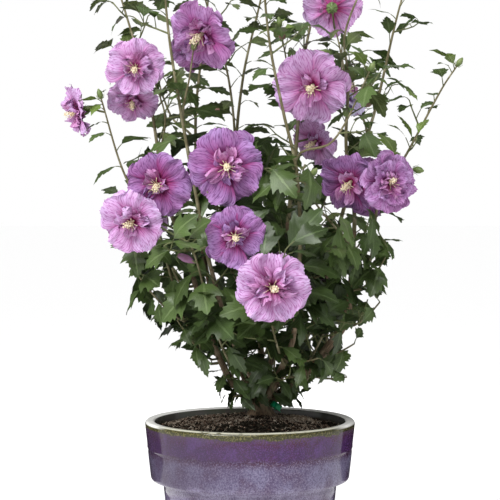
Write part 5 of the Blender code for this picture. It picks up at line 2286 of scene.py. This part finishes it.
@dataclass
class Studio:
    """The floor, the soft light and the camera."""

    camera_place: Place = (0.0, -2.0, 0.505)
    drop: float = 0.021
    lens: float = 108.0
    sensor: float = 36.0
    surroundings: float = 0.38
    backdrop: float = 1.0
    sky_power: float = 2.7
    sky_angle: float = 50.0
    sky_turns: Span = (38.0, -28.0)
    flags: tuple[tuple[str, Place, Span], ...] = (
        ("flag_left", (-0.292, 0.413, 158.0), (0.04, 0.6)),
        ("flag_far_left", (-0.352, 0.438, 158.0), (0.03, 0.6)),
        ("flag_right", (0.27, 0.45, -166.0), (0.06, 0.6)),
    )
    flag_foot: float = 0.115

    def build(self) -> None:
        """Set up the studio."""
        self._floor()
        self._flags()
        self._softbox("key_softbox", (-1.2, -1.6, 1.7), (0.0, 0.0, 0.45), 0.9, 20.0)
        self._softbox("back_softbox", (0.0, 2.3, 0.9), (0.0, 0.0, 0.3), 1.5, 14.0)
        self._sky()
        self._surroundings()
        self._camera()

    def _floor(self) -> None:
        """Lay the plain pale floor."""
        floor = added("floor", bpy.ops.mesh.primitive_plane_add, size=200.0)
        pale = Finish("pale_floor", 0.9, Specular_IOR_Level=0.1).done((0.96, 0.96, 0.96))
        floor.data.materials.append(pale)

    def _flags(self) -> None:
        """Hang dark flags on either side, which show in the glaze and nowhere else."""
        dark = Finish("flag_cloth", 1.0, Specular_IOR_Level=0.0).done((0.02, 0.02, 0.02))
        for name, (x, y, turn), (width, height) in self.flags:
            flag = added(
                name, bpy.ops.mesh.primitive_plane_add,
                size=1.0, location=(x, y, self.flag_foot + height / 2),
                rotation=(math.pi / 2, 0.0, math.radians(-turn)), scale=(width, height, 1.0),
            )
            flag.data.materials.append(dark)
            flag.visible_camera = False
            flag.visible_diffuse = False
            flag.visible_shadow = False

    @staticmethod
    def _softbox(name: str, place: Place, target: Place, size: float, power: float) -> None:
        """Hang one square softbox.

        Args:
            name: its name.
            place: where it hangs.
            target: what it faces.
            size: its side.
            power: its power in watts.
        """
        data = bpy.data.lights.new(name, "AREA")
        data.size = size
        data.energy = power
        light = linked(name, data)
        light.visible_camera = False
        light.location = place
        light.rotation_euler = (Vector(target) - Vector(place)).to_track_quat("-Z", "Y").to_euler()

    def _sky(self) -> None:
        """Hang the broad skylight."""
        data = bpy.data.lights.new("skylight", "SUN")
        data.energy = self.sky_power
        data.angle = math.radians(self.sky_angle)
        lean, turn = self.sky_turns
        linked("skylight", data).rotation_euler = (math.radians(lean), 0.0, math.radians(turn))

    def _surroundings(self) -> None:
        """Light the plant dimly from all around, and whiten what the camera sees behind it."""
        world = bpy.data.worlds.new("white_surroundings")
        bpy.context.scene.world = world
        world.use_nodes = True
        tree = world.node_tree
        seen = add_node(tree, "ShaderNodeLightPath", {}).outputs["Is Camera Ray"]
        inputs = {"Value": seen, "To Min": self.surroundings, "To Max": self.backdrop}
        strength = add_node(tree, "ShaderNodeMapRange", inputs).outputs["Result"]
        background = tree.nodes["Background"]
        background.inputs["Color"].default_value = (1.0, 1.0, 1.0, 1.0)
        tree.links.new(strength, background.inputs["Strength"])
        bpy.context.scene.view_settings.view_transform = "Standard"

    def _camera(self) -> None:
        """Stand the camera a little above the blooms' height, looking slightly down."""
        data = bpy.data.cameras.new("camera")
        data.lens = self.lens
        data.sensor_width = self.sensor
        camera = linked("camera", data)
        camera.location = self.camera_place
        camera.rotation_euler = (math.pi / 2 - math.atan(self.drop), 0.0, 0.0)
        bpy.context.scene.camera = camera


# -------- putting it together


def dress(piece: Object, nodes: Iterable[str] = ()) -> None:
    """Let a piece ride on the plant, and hide the solids that it stands for.

    Args:
        piece: the finished piece.
        nodes: the solids that it replaces.
    """
    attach(piece, "root")
    if nodes:
        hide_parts(*nodes)
    log.info("%s: %d faces", piece.name, len(piece.data.polygons))


def main() -> None:
    """Build every sub-assembly on the frame, in order."""
    logging.basicConfig(level=logging.INFO, format="%(message)s")
    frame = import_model()
    nodes = list(frame["nodes"])
    masses = [name for name in nodes if name.startswith(("cane_", "foliage_"))]
    wood = [name for name in nodes if name == "trunk" or name.startswith("bough_")]
    Studio().build()

    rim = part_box("pot")[1]
    dress(GlazedPot(rim.z, rim.x).build(), ["pot"])
    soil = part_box("potting_soil")[1]
    bed, bits = SoilBed(soil.x - 0.4 * MM, soil.z, random.Random(SEED + 3)).build()
    dress(bed, ["potting_soil"])
    dress(bits)

    paths = Limbs.routes()
    dress(Limbs(soil.z, paths).build(), wood)
    crown = Crown(paths, random.Random(SEED))
    crown.draw()
    crown.luck.seed(LEAF_SEED)
    crown.hang_blooms()
    crown.grow()
    log.info("crown: %d sprays, %d leaves, %d twigs", len(crown.sprays), len(crown.leaves), len(crown.twigs))
    greenery = Greenery(crown)
    canes, twigs = greenery.build_stems()
    dress(canes, masses)
    dress(twigs)
    for piece in (*greenery.build_leaves(), *Blossom(random.Random(SEED + 4)).build()):
        dress(piece)
    for part in (BudSet(crown), PlantTie()):
        dress(part.build())


if __name__ == "__main__":
    main()
